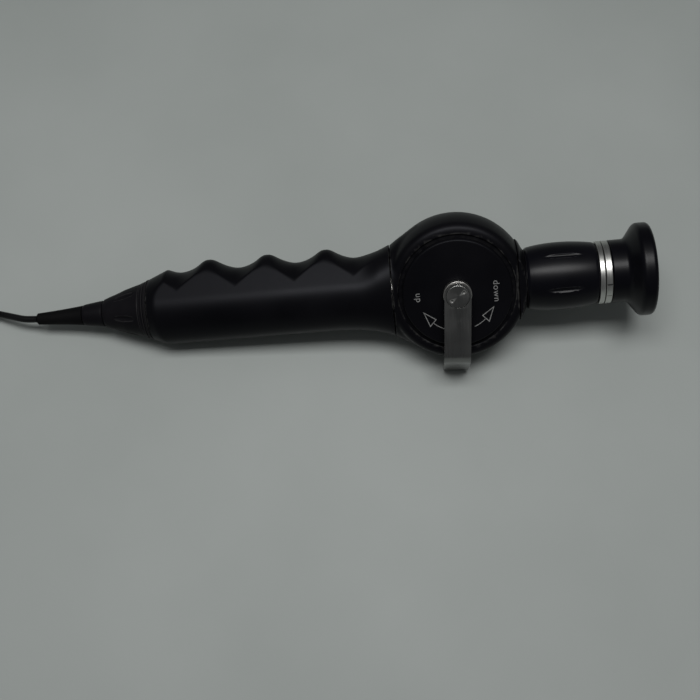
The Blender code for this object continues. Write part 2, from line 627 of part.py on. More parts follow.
def build_core(rest):
    """Metal tube that joins the head to the nose, and what runs inside it."""
    tube = tube_profile(NOSE_START_X + CLEARANCE, CORE_TUBE_BACK_X, CORE_TUBE_RADIUS, CORE_TUBE_BORE)
    turned("core_tube", tube, "steel", rest, "X", MIDDLE_SEGMENTS)
    guide_radius = CORE_TUBE_BORE - CLEARANCE
    channel = IMAGE_GUIDE_RADIUS + FINE_CLEARANCE
    light_channel = LIGHT_GUIDE_RADIUS + FINE_CLEARANCE
    sheath_hole = SHEATH_RADIUS + FINE_CLEARANCE
    wire_hole = WIRE_RADIUS + 0.25
    stop_start = SHEATH_FRONT_X - CLEARANCE - SHEATH_STOP_THICKNESS
    stop_profile = tube_profile(stop_start, SHEATH_FRONT_X - CLEARANCE, guide_radius, channel)
    stop = turned("sheath_stop", stop_profile, "brass", rest, "X", MIDDLE_SEGMENTS)
    channels = [
        turned_body(rod_profile(-CUT_REACH * 5.0, -CORE_TUBE_RADIUS, light_channel), "X", PIN_SEGMENTS,
                    (0.0, 0.0, -LIGHT_GUIDE_DEPTH)),
    ]
    light_tool = cutter("light_channel_tool", channels, rest)
    wire_places = [(0.0, side * WIRE_OFFSET, WIRE_HEIGHT) for side in (1.0, -1.0)]
    wire_rod = rod_profile(-CUT_REACH * 5.0, 0.0, wire_hole)
    wire_tool = cutter("wire_hole_tool", [turned_body(wire_rod, "X", PIN_SEGMENTS, spot) for spot in wire_places], rest)
    cut(stop, light_tool)
    cut(stop, wire_tool)
    block_end = GUIDE_BLOCK_X - GUIDE_BLOCK_THICKNESS
    block_profile = tube_profile(block_end, GUIDE_BLOCK_X, guide_radius, channel)
    block = turned("wire_guide_block", block_profile, "brass", rest, "X", MIDDLE_SEGMENTS)
    seat = block_end + GUIDE_BLOCK_THICKNESS / 2.0
    cut(block, light_tool)
    cut(block, wire_tool)
    seat_rod = rod_profile(block_end - 5.0, seat, sheath_hole)
    cut(block, cutter("sheath_seat_tool", [turned_body(seat_rod, "X", PIN_SEGMENTS, spot) for spot in wire_places], rest))
    for name, side in (("up", 1.0), ("down", -1.0)):
        place = (0.0, side * WIRE_OFFSET, WIRE_HEIGHT)
        sheath = tube_profile(SHEATH_FRONT_X, seat - FINE_CLEARANCE, SHEATH_RADIUS, SHEATH_BORE)
        turned(f"wire_sheath_{name}", sheath, "steel", rest, "X", 10, place)


def build_wires(rest):
    """Pull wires from the drum into their sheaths, one each side of the drum."""
    for name, side in (("up", 1.0), ("down", -1.0)):
        slide = add_empty(f"wire_{name}_slide", (0.0, side * WIRE_OFFSET, WIRE_HEIGHT), parent=rest)
        turned(f"pull_wire_{name}", rod_profile(-WIRE_LENGTH, 0.0, WIRE_RADIUS), "steel", slide, "X", 8)


def add_tube(name, points, radius, finish, parent):
    """A tube along points in millimetres, as a bevelled curve with filled caps."""
    curve = bpy.data.curves.new(name, "CURVE")
    curve.dimensions = "3D"
    curve.bevel_depth = radius * MM
    curve.bevel_resolution = 2
    curve.use_fill_caps = True
    spline = curve.splines.new("POLY")
    spline.points.add(len(points) - 1)
    for target, point in zip(spline.points, points):
        target.co = (*(Vector(point) * MM), 1.0)
    obj = bpy.data.objects.new(name, curve)
    curve.materials.append(add_material(name, *FINISHES[finish]))
    obj.parent = parent
    COLLECTION.objects.link(obj)
    return obj


def smooth_route(points, spacing):
    """Points at an even spacing along a smooth curve through the given points."""
    knots = [Vector(p) for p in points]
    knots = [knots[0] * 2.0 - knots[1], *knots, knots[-1] * 2.0 - knots[-2]]
    dense = []
    for a, b, c, d in zip(knots, knots[1:], knots[2:], knots[3:]):
        for t in np.linspace(0.0, 1.0, 20, endpoint=False):
            dense.append(0.5 * (2.0 * b + (c - a) * t + (2.0 * a - 5.0 * b + 4.0 * c - d) * t ** 2
                                + (3.0 * b - a - 3.0 * c + d) * t ** 3))
    dense.append(knots[-2])
    lengths = np.concatenate([[0.0], np.cumsum([(q - p).length for p, q in zip(dense, dense[1:])])])
    count = max(2, round(lengths[-1] / spacing) + 1)
    wanted = np.linspace(0.0, lengths[-1], count)
    axes = [np.interp(wanted, lengths, [p[i] for p in dense]) for i in range(3)]
    return [Vector(p) for p in zip(*axes)]


OCULAR_FRONT_X = COLLAR_SEAM_X - 3.0


def build_fibres(rest):
    """Image bundle along the axis to the ocular, light bundle down to the post."""
    guide_end = OCULAR_FRONT_X + 6.0
    image_profile = rod_profile(NOSE_END_X + 6.3, guide_end, IMAGE_GUIDE_RADIUS)
    turned("image_guide", image_profile, "fibre", rest, "X", PIN_SEGMENTS)
    depth = -LIGHT_GUIDE_DEPTH
    end = -COVER_TOP - LIGHT_POST_LENGTH + 1.9
    route = [
        (NOSE_START_X - 2.0, 0.0, depth), (-60.0, 0.0, depth), (-20.0, 0.0, depth), (-9.5, 0.0, depth - 0.1),
        (-4.6, 0.0, depth - 0.8), (-1.3, 0.0, depth - 2.8), (-0.1, 0.0, depth - 5.4), (0.0, 0.0, depth - 8.0),
        (0.0, 0.0, end),
    ]
    add_tube("light_guide", smooth_route(route, 3.0 * LIGHT_GUIDE_RADIUS), LIGHT_GUIDE_RADIUS, "fibre", rest)


# Eyepiece end

COLLAR_START_X = COLLAR_SEAM_X + CLEARANCE
COLLAR_END_X = COLLAR_START_X + COLLAR_LENGTH
FOCUS_START_X = COLLAR_END_X + CLEARANCE
FOCUS_END_X = FOCUS_START_X + FOCUS_RING_LENGTH
SCALE_START_X = FOCUS_END_X + CLEARANCE
SCALE_END_X = SCALE_START_X + SCALE_RING_LENGTH - CLEARANCE
INDEX_START_X = SCALE_END_X + CLEARANCE
INDEX_END_X = INDEX_START_X + INDEX_RING_LENGTH - CLEARANCE
CUP_START_X = INDEX_END_X + CLEARANCE
CUP_CONE_X = CUP_START_X + CUP_NECK_LENGTH
CUP_RIM_X = CUP_CONE_X + CUP_CONE_LENGTH
CUP_END_X = CUP_RIM_X + 0.9 + CUP_RIM_LENGTH
OCULAR_END_X = CUP_START_X + 3.0
OCULAR_TUBE_BORE = OCULAR_TUBE_RADIUS - OCULAR_TUBE_WALL
LENS_CELL_X = FOCUS_START_X + 10.0
LENS_CELL_RADIUS = OCULAR_TUBE_BORE - FINE_CLEARANCE
PIN_RADIUS = 0.9
PIN_TOP = OCULAR_TUBE_RADIUS + CLEARANCE + 0.4
RELIEF_RADIUS = PIN_TOP + CLEARANCE


def build_collar(rest):
    """Conical collar between ball and focus ring, flattened as the ball is."""
    profile = [
        (COLLAR_START_X, OCULAR_BORE), (COLLAR_START_X, COLLAR_RADIUS), (COLLAR_START_X + 0.8, COLLAR_RADIUS - 0.7),
        (COLLAR_END_X - 0.5, FOCUS_RING_END_RADIUS + 0.1), (COLLAR_END_X, FOCUS_RING_END_RADIUS - 0.5),
        (COLLAR_END_X, OCULAR_BORE),
    ]
    bm = bmesh.new()
    spin_profile(bm, profile, "X", ROUND_SEGMENTS)
    for vertex in bm.verts:
        vertex.co.z = max(-HEAD_HALF_THICKNESS, min(HEAD_HALF_THICKNESS, vertex.co.z))
    finish_object("ocular_collar", bm, "satin black", rest)


def build_ocular_tube(rest):
    """Tube that carries focus ring and eyepiece, with the slot for the focusing pin."""
    profile = tube_profile(OCULAR_FRONT_X, OCULAR_END_X, OCULAR_TUBE_RADIUS, OCULAR_TUBE_BORE)
    tube = turned("ocular_tube", profile, "anodised black", rest, "X", MIDDLE_SEGMENTS)
    middle = LENS_CELL_X + LENS_CELL_LENGTH / 2.0
    reach = FOCUS_TRAVEL + PIN_RADIUS + FINE_CLEARANCE
    half_slot = PIN_RADIUS + FINE_CLEARANCE
    slot = block_body((middle - reach, -half_slot, 1.0), (middle + reach, half_slot, OCULAR_TUBE_RADIUS + 2.0))
    cut(tube, cutter("focus_slot_tool", [slot], rest))


def focus_profile():
    """Barrel-shaped focus ring with the relief that clears the focusing pin."""
    length = FOCUS_RING_LENGTH
    rise = FOCUS_RING_BELLY - BARREL_RADIUS
    outer = [(FOCUS_START_X, FOCUS_RING_END_RADIUS - 0.5), (FOCUS_START_X + 0.5, FOCUS_RING_END_RADIUS)]
    for share in (0.12, 0.24, 0.36, 0.48, 0.60, 0.72, 0.84):
        lift = math.sin(math.pi * share ** 0.92) ** 0.8
        outer.append((FOCUS_START_X + length * share, BARREL_RADIUS + rise * lift))
    outer += [(FOCUS_END_X - 0.3, BARREL_RADIUS), (FOCUS_END_X, BARREL_RADIUS - 0.3)]
    relief_start = FOCUS_START_X + 8.0
    relief_end = FOCUS_END_X - 4.0
    inner = [
        (FOCUS_END_X, OCULAR_BORE), (relief_end, OCULAR_BORE), (relief_end, RELIEF_RADIUS),
        (relief_start, RELIEF_RADIUS), (relief_start, OCULAR_BORE), (FOCUS_START_X, OCULAR_BORE),
    ]
    return outer + inner


def build_focus(focus_axis):
    ring = turned("focus_ring", focus_profile(), "anodised black", focus_axis)
    middle = FOCUS_START_X + FOCUS_RING_LENGTH * 0.52
    tool = flute_tool(
        "focus_flute_tool", FOCUS_FLUTES, FOCUS_RING_BELLY, middle, FOCUS_FLUTE_LENGTH, FOCUS_FLUTE_WIDTH,
        FOCUS_FLUTE_DEPTH, focus_axis, math.radians(10.0),
    )
    cut(ring, tool)
    turned("scale_ring", ring_profile(SCALE_START_X, SCALE_END_X), "satin silver", focus_axis)


def ring_profile(start, end):
    """A plain ring on the ocular tube with lightly broken edges."""
    edge = 0.15
    return [
        (start, OCULAR_BORE), (start, BARREL_RADIUS - edge), (start + edge, BARREL_RADIUS),
        (end - edge, BARREL_RADIUS), (end, BARREL_RADIUS - edge), (end, OCULAR_BORE),
    ]


def build_lens_carrier(carrier_axis):
    """Lens cell that the focus ring shifts, with its lens and its guide pin."""
    end = LENS_CELL_X + LENS_CELL_LENGTH
    middle = (LENS_CELL_X + end) / 2.0
    seat = middle + 1.6
    profile = [
        (LENS_CELL_X, LENS_RADIUS - 0.8), (LENS_CELL_X, LENS_CELL_RADIUS), (end, LENS_CELL_RADIUS),
        (end, LENS_RADIUS + FINE_CLEARANCE), (seat, LENS_RADIUS + FINE_CLEARANCE), (seat, LENS_RADIUS - 0.8),
    ]
    cell = turned("lens_cell", profile, "brass", carrier_axis, "X", MIDDLE_SEGMENTS)
    pin_foot = LENS_CELL_RADIUS - 1.2
    hole = turned_body(rod_profile(pin_foot - FINE_CLEARANCE, PIN_TOP + 2.0, PIN_RADIUS + FINE_CLEARANCE), "Z",
                       PIN_SEGMENTS, (middle, 0.0, 0.0))
    cut(cell, cutter("pin_hole_tool", [hole], carrier_axis))
    turned("focus_pin", rod_profile(pin_foot, PIN_TOP, PIN_RADIUS), "steel", carrier_axis, "Z", PIN_SEGMENTS,
           (middle, 0.0, 0.0))
    lens_start = seat + FINE_CLEARANCE
    lens = [(lens_start, 0.0), (lens_start, LENS_RADIUS * 0.5), (lens_start + 0.1, LENS_RADIUS),
            (lens_start + 1.5, LENS_RADIUS), (lens_start + 2.1, LENS_RADIUS * 0.5), (lens_start + 2.3, 0.0)]
    turned("ocular_lens", lens, "glass", carrier_axis, "X", SMALL_SEGMENTS)


def build_eyepiece(rest):
    turned("index_ring", ring_profile(INDEX_START_X, INDEX_END_X), "satin silver", rest)
    tube_seat = OCULAR_END_X + CLEARANCE
    window_seat = tube_seat + 1.2
    window_front = window_seat + CUP_WINDOW_THICKNESS + 2.0 * FINE_CLEARANCE
    cup = [
        (CUP_START_X, OCULAR_BORE), (CUP_START_X, BARREL_RADIUS - 0.25), (CUP_START_X + 0.3, BARREL_RADIUS + 0.05),
        (CUP_CONE_X - 1.2, BARREL_RADIUS + 0.05), (CUP_CONE_X, BARREL_RADIUS + 0.9),
        (CUP_RIM_X, CUP_RIM_RADIUS - 0.5), (CUP_RIM_X + 0.9, CUP_RIM_RADIUS),
        (CUP_END_X - 0.5, CUP_RIM_RADIUS), (CUP_END_X, CUP_RIM_RADIUS - 0.5), (CUP_END_X, CUP_MOUTH_RADIUS),
        (CUP_END_X - 1.0, CUP_MOUTH_RADIUS - 0.5), (window_front + 1.0, CUP_WINDOW_RADIUS + 0.9),
        (window_front, CUP_WINDOW_RADIUS + FINE_CLEARANCE), (window_seat, CUP_WINDOW_RADIUS + FINE_CLEARANCE),
        (window_seat, CUP_WINDOW_RADIUS - 0.8), (tube_seat, CUP_WINDOW_RADIUS - 0.8), (tube_seat, OCULAR_BORE),
    ]
    turned("eyepiece_cup", cup, "anodised black", rest)
    glass_start = window_seat + FINE_CLEARANCE
    glass = rod_profile(glass_start, glass_start + CUP_WINDOW_THICKNESS, CUP_WINDOW_RADIUS)
    turned("eyepiece_window", glass, "glass", rest, "X", SMALL_SEGMENTS)


# Thumb lever

LEVER_BOTTOM = COVER_TOP + CLEARANCE + LEVER_HUB_HEIGHT + FINE_CLEARANCE
LEVER_TOP = LEVER_BOTTOM + LEVER_THICKNESS
CAP_BOTTOM = LEVER_TOP - CAP_THICKNESS


def lever_stations():
    """Middle line of the lever plate in its side view, with its normal and half width at each point."""
    half = LEVER_WIDTH / 2.0
    middle = LEVER_BOTTOM + LEVER_THICKNESS / 2.0
    stations = []
    for angle in np.linspace(math.radians(12.0), math.pi / 2.0, 7):
        stations.append((half * math.cos(angle), middle, 0.0, half * math.sin(angle)))
    setback = LEVER_BEND_RADIUS * math.tan(LEVER_BEND / 2.0)
    bend_start = -LEVER_ARM + setback
    for angle in np.linspace(0.0, LEVER_BEND, 6):
        y = bend_start - LEVER_BEND_RADIUS * math.sin(angle)
        z = middle - LEVER_BEND_RADIUS * (1.0 - math.cos(angle))
        stations.append((y, z, angle, half))
    y = -LEVER_ARM - LEVER_FLANGE * math.cos(LEVER_BEND)
    z = middle - LEVER_FLANGE * math.sin(LEVER_BEND)
    stations.append((y, z, LEVER_BEND, half))
    return stations


def build_lever(lever_axis):
    bm = bmesh.new()
    rings = []
    for y, z, lean, half in lever_stations():
        shift = Vector((0.0, -math.sin(lean), math.cos(lean))) * (LEVER_THICKNESS / 2.0)
        middle = Vector((0.0, y, z))
        side = Vector((half, 0.0, 0.0))
        rings.append([middle + shift + side, middle + shift - side, middle - shift - side, middle - shift + side])
    loft(bm, rings)
    lever = finish_object("thumb_lever", bm, "satin silver", lever_axis)
    cap_seat = rod_profile(LEVER_BOTTOM - 2.0, LEVER_TOP + 2.0, CAP_RADIUS + FINE_CLEARANCE)
    hole = turned_body(cap_seat, "Z", MIDDLE_SEGMENTS)
    cut(lever, cutter("cap_seat_tool", [hole], lever_axis))
    hub_start = COVER_TOP + CLEARANCE
    hub = tube_profile(hub_start, hub_start + LEVER_HUB_HEIGHT, LEVER_HUB_RADIUS, SHAFT_RADIUS + FINE_CLEARANCE)
    turned("lever_hub", hub, "steel", lever_axis, "Z", MIDDLE_SEGMENTS)
    cap_profile = [
        (CAP_BOTTOM, 0.0), (CAP_BOTTOM, CAP_RADIUS), (LEVER_TOP - 0.1, CAP_RADIUS), (LEVER_TOP, CAP_RADIUS - 0.1),
        (LEVER_TOP, 0.0),
    ]
    cap = turned("lever_cap", cap_profile, "satin silver", lever_axis, "Z", MIDDLE_SEGMENTS)
    spots = [
        (CAP_HOLE_RING * math.cos(CAP_HOLE_ANGLE + turn), CAP_HOLE_RING * math.sin(CAP_HOLE_ANGLE + turn), 0.0)
        for turn in (0.0, math.pi)
    ]
    holes = [turned_body(rod_profile(LEVER_TOP - CAP_HOLE_DEPTH, LEVER_TOP + 1.0, CAP_HOLE_RADIUS), "Z", 10, spot)
             for spot in spots]
    cut(cap, cutter("spanner_hole_tool", holes, lever_axis))
    clip_groove = DRUM_BOTTOM + DRUM_HEIGHT + CLEARANCE
    shaft = [
        (DRUM_BOTTOM, 0.0), (DRUM_BOTTOM, SHAFT_RADIUS), (clip_groove, SHAFT_RADIUS), (clip_groove, SHAFT_RADIUS - 0.6),
        (clip_groove + 0.8, SHAFT_RADIUS - 0.6), (clip_groove + 0.8, SHAFT_RADIUS),
        (CAP_BOTTOM - FINE_CLEARANCE, SHAFT_RADIUS), (CAP_BOTTOM - FINE_CLEARANCE, 0.0),
    ]
    turned("pivot_shaft", shaft, "steel", lever_axis, "Z", SMALL_SEGMENTS)
    clip = tube_profile(clip_groove + 0.15, clip_groove + 0.65, SHAFT_RADIUS + 0.9, SHAFT_RADIUS - 0.4)
    turned("shaft_clip", clip, "steel", lever_axis, "Z", SMALL_SEGMENTS)
    bore = SHAFT_RADIUS + FINE_CLEARANCE
    top = DRUM_BOTTOM + DRUM_HEIGHT
    drum = [
        (DRUM_BOTTOM, bore), (DRUM_BOTTOM, DRUM_FLANGE_RADIUS), (DRUM_BOTTOM + 0.8, DRUM_FLANGE_RADIUS),
        (DRUM_BOTTOM + 1.2, DRUM_GROOVE_RADIUS), (top - 1.2, DRUM_GROOVE_RADIUS), (top - 0.8, DRUM_FLANGE_RADIUS),
        (top, DRUM_FLANGE_RADIUS), (top, bore),
    ]
    turned("wire_drum", drum, "brass", lever_axis, "Z", SMALL_SEGMENTS)


def build_bush(rest):
    """Plain bearing of the lever shaft in the front cover."""
    bush = tube_profile(COVER_SEAT - SPIGOT_LENGTH, COVER_TOP, BUSH_RADIUS, SHAFT_RADIUS + FINE_CLEARANCE)
    turned("pivot_bush", bush, "brass", rest, "Z", SMALL_SEGMENTS)


# Insertion tube on the table

def build_insertion_tube():
    add_tube("insertion_tube", smooth_route(ROUTE_TO_COIL, 2.5 * TUBE_RADIUS), TUBE_RADIUS, "rubber", None)
    low, high = COIL_RADIUS - COIL_HALF_WIDTH, COIL_RADIUS + COIL_HALF_WIDTH
    base = TUBE_HEIGHT - TUBE_RADIUS
    corner = TUBE_RADIUS
    coil = [
        (base, low + corner), (base, high - corner), (base + corner, high), (base + COIL_HEIGHT - corner, high - corner),
        (base + COIL_HEIGHT, high - 2.0 * corner), (base + COIL_HEIGHT, low + 2.0 * corner),
        (base + COIL_HEIGHT - corner, low + corner), (base + corner, low),
    ]
    turned("tube_coil", coil, "rubber", None, "Z", MIDDLE_SEGMENTS, (*COIL_PLACE, 0.0))
    add_tube("insertion_tube_end", smooth_route(ROUTE_FROM_COIL, 2.5 * TUBE_RADIUS), TUBE_RADIUS, "rubber", None)


# Bending section

def knuckle_x(y, radius):
    """How far a knuckle surface of that radius, round an upright hinge, reaches at side offset y."""
    return -math.sqrt(radius ** 2 - y ** 2)


def link_solid(bm, near_radius, far_pivot, far_radius, outer, bore, segments=16):
    """A hollow link from a hollow knuckle seat at its own hinge to a round knuckle at the next hinge."""
    def ring(pivot, radius, size):
        points = []
        for angle in np.linspace(0.0, math.tau, segments, endpoint=False):
            y, z = size * math.cos(angle), size * math.sin(angle)
            points.append((pivot + knuckle_x(y, radius), y, z))
        return points
    loft(bm, [ring(0.0, near_radius, outer), ring(far_pivot, far_radius, outer)],
         [ring(0.0, near_radius, bore), ring(far_pivot, far_radius, bore)])


def build_bending_section():
    seat_radius = KNUCKLE_RADIUS + CLEARANCE
    hinge = Vector((*FIRST_HINGE, TUBE_HEIGHT))
    collar_axis = add_empty("distal_collar_place", hinge)
    bm = bmesh.new()
    angles = np.linspace(0.0, math.tau, 16, endpoint=False)
    start = [(DISTAL_COLLAR_LENGTH, TUBE_RADIUS * math.cos(a), TUBE_RADIUS * math.sin(a)) for a in angles]
    rim = [(LINK_RADIUS * math.cos(a), LINK_RADIUS * math.sin(a)) for a in angles]
    end = [(knuckle_x(y, KNUCKLE_RADIUS), y, z) for y, z in rim]
    shoulder = [(1.5, y, z) for _, y, z in start]
    loft(bm, [start, shoulder, end])
    finish_object("distal_collar", bm, "steel", collar_axis)
    parent = None
    place = hinge
    for index in range(1, LINK_COUNT + 1):
        parent = add_empty(f"hinge_{index}", place, parent=parent)
        place = Vector((-LINK_PITCH, 0.0, 0.0))
        bm = bmesh.new()
        link_solid(bm, seat_radius, -LINK_PITCH, KNUCKLE_RADIUS, LINK_RADIUS, LINK_BORE)
        finish_object(f"bending_link_{index}", bm, "steel", parent)
    tip_axis = add_empty("tip_hinge", place, parent=parent)
    bm = bmesh.new()
    rings = [[(knuckle_x(y, seat_radius), y, z) for y, z in rim]]
    tip_outline = [(-2.6, TUBE_RADIUS), (-TIP_LENGTH + 0.4, TUBE_RADIUS), (-TIP_LENGTH, TUBE_RADIUS - 0.3)]
    for reach, size in tip_outline:
        rings.append([(reach, size * math.cos(a), size * math.sin(a)) for a in angles])
    loft(bm, rings)
    tip = finish_object("distal_tip", bm, "steel", tip_axis)
    seat = turned_body(rod_profile(-TIP_LENGTH - 1.0, -TIP_LENGTH + 0.9, TIP_LENS_RADIUS + 0.1), "X", PIN_SEGMENTS)
    cut(tip, cutter("lens_seat_tool", [seat], tip_axis))
    lens_profile = rod_profile(-TIP_LENGTH + 0.1, -TIP_LENGTH + 0.8, TIP_LENS_RADIUS)
    turned("tip_lens", lens_profile, "glass", tip_axis, "X", PIN_SEGMENTS)


def build_endoscope():
    rest = add_empty("instrument_rest", BALL_PLACE, (ROLL_TO_VIEWER, -EYEPIECE_RISE, 0.0))
    lever_axis = add_empty("lever_axis", parent=rest)
    focus_axis = add_empty("focus_axis", parent=rest)
    carrier_axis = add_empty("lens_carrier_axis", parent=rest)
    build_head(rest)
    build_covers(rest)
    build_bush(rest)
    build_handle(rest)
    build_nose(rest)
    build_core(rest)
    build_fibres(rest)
    build_collar(rest)
    build_ocular_tube(rest)
    build_eyepiece(rest)
    build_lever(lever_axis)
    build_wires(rest)
    build_focus(focus_axis)
    build_lens_carrier(carrier_axis)
    build_insertion_tube()
    build_bending_section()


build_endoscope()
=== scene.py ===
# Looks of a flexible fibre endoscope that lies on a pale table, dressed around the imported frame.
# Sizes are in millimetres until MM turns them into metres. The instrument's own axes: X along the
# barrel to the eyepiece, Y to the finger side, Z along the pivot of the thumb lever, zero at the ball.

import json
import math

import bmesh
import bpy
import numpy as np
from mathutils import Matrix, Vector


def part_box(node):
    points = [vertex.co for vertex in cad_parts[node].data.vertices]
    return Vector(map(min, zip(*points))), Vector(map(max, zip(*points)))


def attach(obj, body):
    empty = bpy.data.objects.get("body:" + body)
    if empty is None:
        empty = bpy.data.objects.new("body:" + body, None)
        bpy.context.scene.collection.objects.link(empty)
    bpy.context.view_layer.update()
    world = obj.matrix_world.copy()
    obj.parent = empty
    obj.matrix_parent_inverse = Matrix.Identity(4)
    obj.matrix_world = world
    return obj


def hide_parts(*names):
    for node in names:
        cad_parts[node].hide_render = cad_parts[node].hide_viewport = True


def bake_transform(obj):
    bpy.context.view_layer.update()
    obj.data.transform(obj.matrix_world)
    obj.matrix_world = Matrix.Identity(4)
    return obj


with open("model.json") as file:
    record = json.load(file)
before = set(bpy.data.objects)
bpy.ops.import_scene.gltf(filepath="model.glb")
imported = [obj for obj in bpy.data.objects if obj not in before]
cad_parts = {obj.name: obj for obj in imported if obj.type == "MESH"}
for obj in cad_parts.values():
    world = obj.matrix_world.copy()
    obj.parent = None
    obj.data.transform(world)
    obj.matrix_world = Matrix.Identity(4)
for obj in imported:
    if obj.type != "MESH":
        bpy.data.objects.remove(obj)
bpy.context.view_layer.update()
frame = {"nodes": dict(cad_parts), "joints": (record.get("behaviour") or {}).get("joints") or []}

MM = 0.001
TURN_STEPS = 128
SMALL_STEPS = 48

# Axes of the instrument, read from its joints
JOINTS = {joint["name"]: joint for joint in frame["joints"]}
PIVOT_AXIS = Vector(JOINTS["lever_turn"]["axis"]).normalized()
BARREL_AXIS = Vector(JOINTS["focus_turn"]["axis"]).normalized()
FINGER_AXIS = PIVOT_AXIS.cross(BARREL_AXIS)
BALL_PLACE = Vector(JOINTS["lever_turn"]["pos_m"])
INSTRUMENT_TURN = Matrix((BARREL_AXIS, FINGER_AXIS, PIVOT_AXIS)).transposed()
INSTRUMENT = Matrix.Translation(BALL_PLACE) @ INSTRUMENT_TURN.to_4x4() @ Matrix.Scale(MM, 4)
TABLE = Matrix.Scale(MM, 4)
TO_INSTRUMENT = INSTRUMENT.inverted()


def node_points(node):
    """The points of a CAD node on the instrument's own axes."""
    return np.array([TO_INSTRUMENT @ vertex.co for vertex in frame["nodes"][node].data.vertices])


def along_barrel(node):
    values = node_points(node)[:, 0]
    return values.min(), values.max()


def along_pivot(node):
    values = node_points(node)[:, 2]
    return values.min(), values.max()


def barrel_radius(node):
    return np.hypot(*node_points(node)[:, 1:].T).max()


def pivot_radius(node):
    return np.hypot(*node_points(node)[:, :2].T).max()


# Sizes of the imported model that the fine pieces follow
CLEARANCE = 0.3
HEAD_RADIUS = 25.3
HEAD_HALF_THICKNESS = 10.3
HEAD_START_X, HEAD_END_X = along_barrel("head_shell")
HEAD_EDGE_FILLET = 3.0
HEAD_CAVITY_RADIUS = 14.5
RECESS_RADIUS = 20.2
RECESS_DEPTH = 0.8
COVER_SEAT = HEAD_HALF_THICKNESS - RECESS_DEPTH
COVER_RADIUS = pivot_radius("front_cover")
COVER_FOOT, COVER_TOP = along_pivot("front_cover")
SHAFT_BORE = 3.5
POST_NECK_BORE = 3.4
HANDLE_END_X = along_barrel("handle_grip")[1]
CORE_BORE = 7.9
OCULAR_BORE = 8.9
BARREL_RADIUS = 10.9
COLLAR_END_X = 23.9
FOCUS_START_X, FOCUS_END_X = COLLAR_END_X + CLEARANCE, along_barrel("focus_ring")[1]
FOCUS_BELLY = 11.8
LEVER_BOTTOM = along_pivot("lever_hub")[1] + 0.2
LEVER_TOP = along_pivot("thumb_lever")[1]
TUBE_RADIUS = 1.25
TUBE_HEIGHT = 1.35


# Camera, light and table

CAMERA_PLACE = (-0.67, -148.3, 368.0)
CAMERA_ELEVATION = math.radians(69.74)
CAMERA_HEADING = math.radians(1.6)
CAMERA_ROLL = math.radians(-1.19)
CAMERA_LENS = 55.05


def camera_axes():
    """Right, up and backward axes of the camera as rows."""
    flat = math.cos(CAMERA_ELEVATION)
    aside, ahead = math.sin(CAMERA_HEADING), math.cos(CAMERA_HEADING)
    forward = Vector((flat * aside, flat * ahead, -math.sin(CAMERA_ELEVATION)))
    level = Vector((ahead, -aside, 0.0))
    upright = level.cross(forward)
    right = level * math.cos(CAMERA_ROLL) + upright * math.sin(CAMERA_ROLL)
    return right, right.cross(forward), -forward


def make_camera():
    data = bpy.data.cameras.new("camera")
    data.lens = CAMERA_LENS
    data.sensor_width = 36.0
    data.clip_start = 0.01
    camera = bpy.data.objects.new("camera", data)
    camera.rotation_mode = "QUATERNION"
    camera.location = Vector(CAMERA_PLACE) * MM
    camera.rotation_quaternion = Matrix(camera_axes()).transposed().to_quaternion()
    bpy.context.scene.collection.objects.link(camera)
    bpy.context.scene.camera = camera


def add_lamp(name, place, target, size, power, spread=180.0):
    data = bpy.data.lights.new(name, "AREA")
    data.shape = "RECTANGLE"
    data.size, data.size_y = size
    data.energy = power
    data.spread = math.radians(spread)
    lamp = bpy.data.objects.new(name, data)
    lamp.location = place
    lamp.rotation_mode = "QUATERNION"
    lamp.rotation_quaternion = (Vector(target) - Vector(place)).to_track_quat("-Z", "Y")
    bpy.context.scene.collection.objects.link(lamp)


def make_light():
    add_lamp("ceiling_panel", (-0.01, 0.0, 1.0), (-0.01, 0.02, 0.0), (0.70, 0.30), 2.9, 120.0)
    add_lamp("wide_ceiling", (-0.2, 0.15, 1.6), (0.0, 0.0, 0.0), (2.2, 1.6), 2.2)
    world = bpy.data.worlds.new("room")
    world.use_nodes = True
    back = world.node_tree.nodes["Background"]
    back.inputs["Color"].default_value = (0.95, 0.98, 1.0, 1.0)
    back.inputs["Strength"].default_value = 0.09
    bpy.context.scene.world = world


def make_table():
    bpy.ops.mesh.primitive_plane_add(size=6.0, location=(0.0, 0.0, 0.0))
    table = bpy.context.object
    table.name = "table"
    material, tree, shader = new_material("table_top")
    place = tree.nodes.new("ShaderNodeTexCoord").outputs["Object"]
    cloud = add_noise(tree, place, 9.0, 4.0)
    colour = add_ramp(tree, cloud, (0.315, 0.340, 0.325), (0.350, 0.375, 0.360), 0.35, 0.65)
    set_inputs(tree, shader, {"Base Color": colour, "Roughness": 0.6})
    add_bump(tree, shader, add_noise(tree, place, 900.0, 2.0), 0.12, 0.0002)
    table.data.materials.append(material)


# Material parts

def new_material(name, roughness=0.5, metallic=0.0):
    material = bpy.data.materials.new(name)
    material.use_nodes = True
    tree = material.node_tree
    shader = tree.nodes["Principled BSDF"]
    set_inputs(tree, shader, {"Roughness": roughness, "Metallic": metallic})
    return material, tree, shader


def set_inputs(tree, node, inputs):
    """Sets a node's inputs, each from a plain value or from the socket that feeds it."""
    for name, value in inputs.items():
        if isinstance(value, bpy.types.NodeSocket):
            tree.links.new(value, node.inputs[name])
        else:
            node.inputs[name].default_value = value


def add_node(tree, kind, inputs, **settings):
    node = tree.nodes.new(kind)
    for name, value in settings.items():
        setattr(node, name, value)
    set_inputs(tree, node, inputs)
    return node


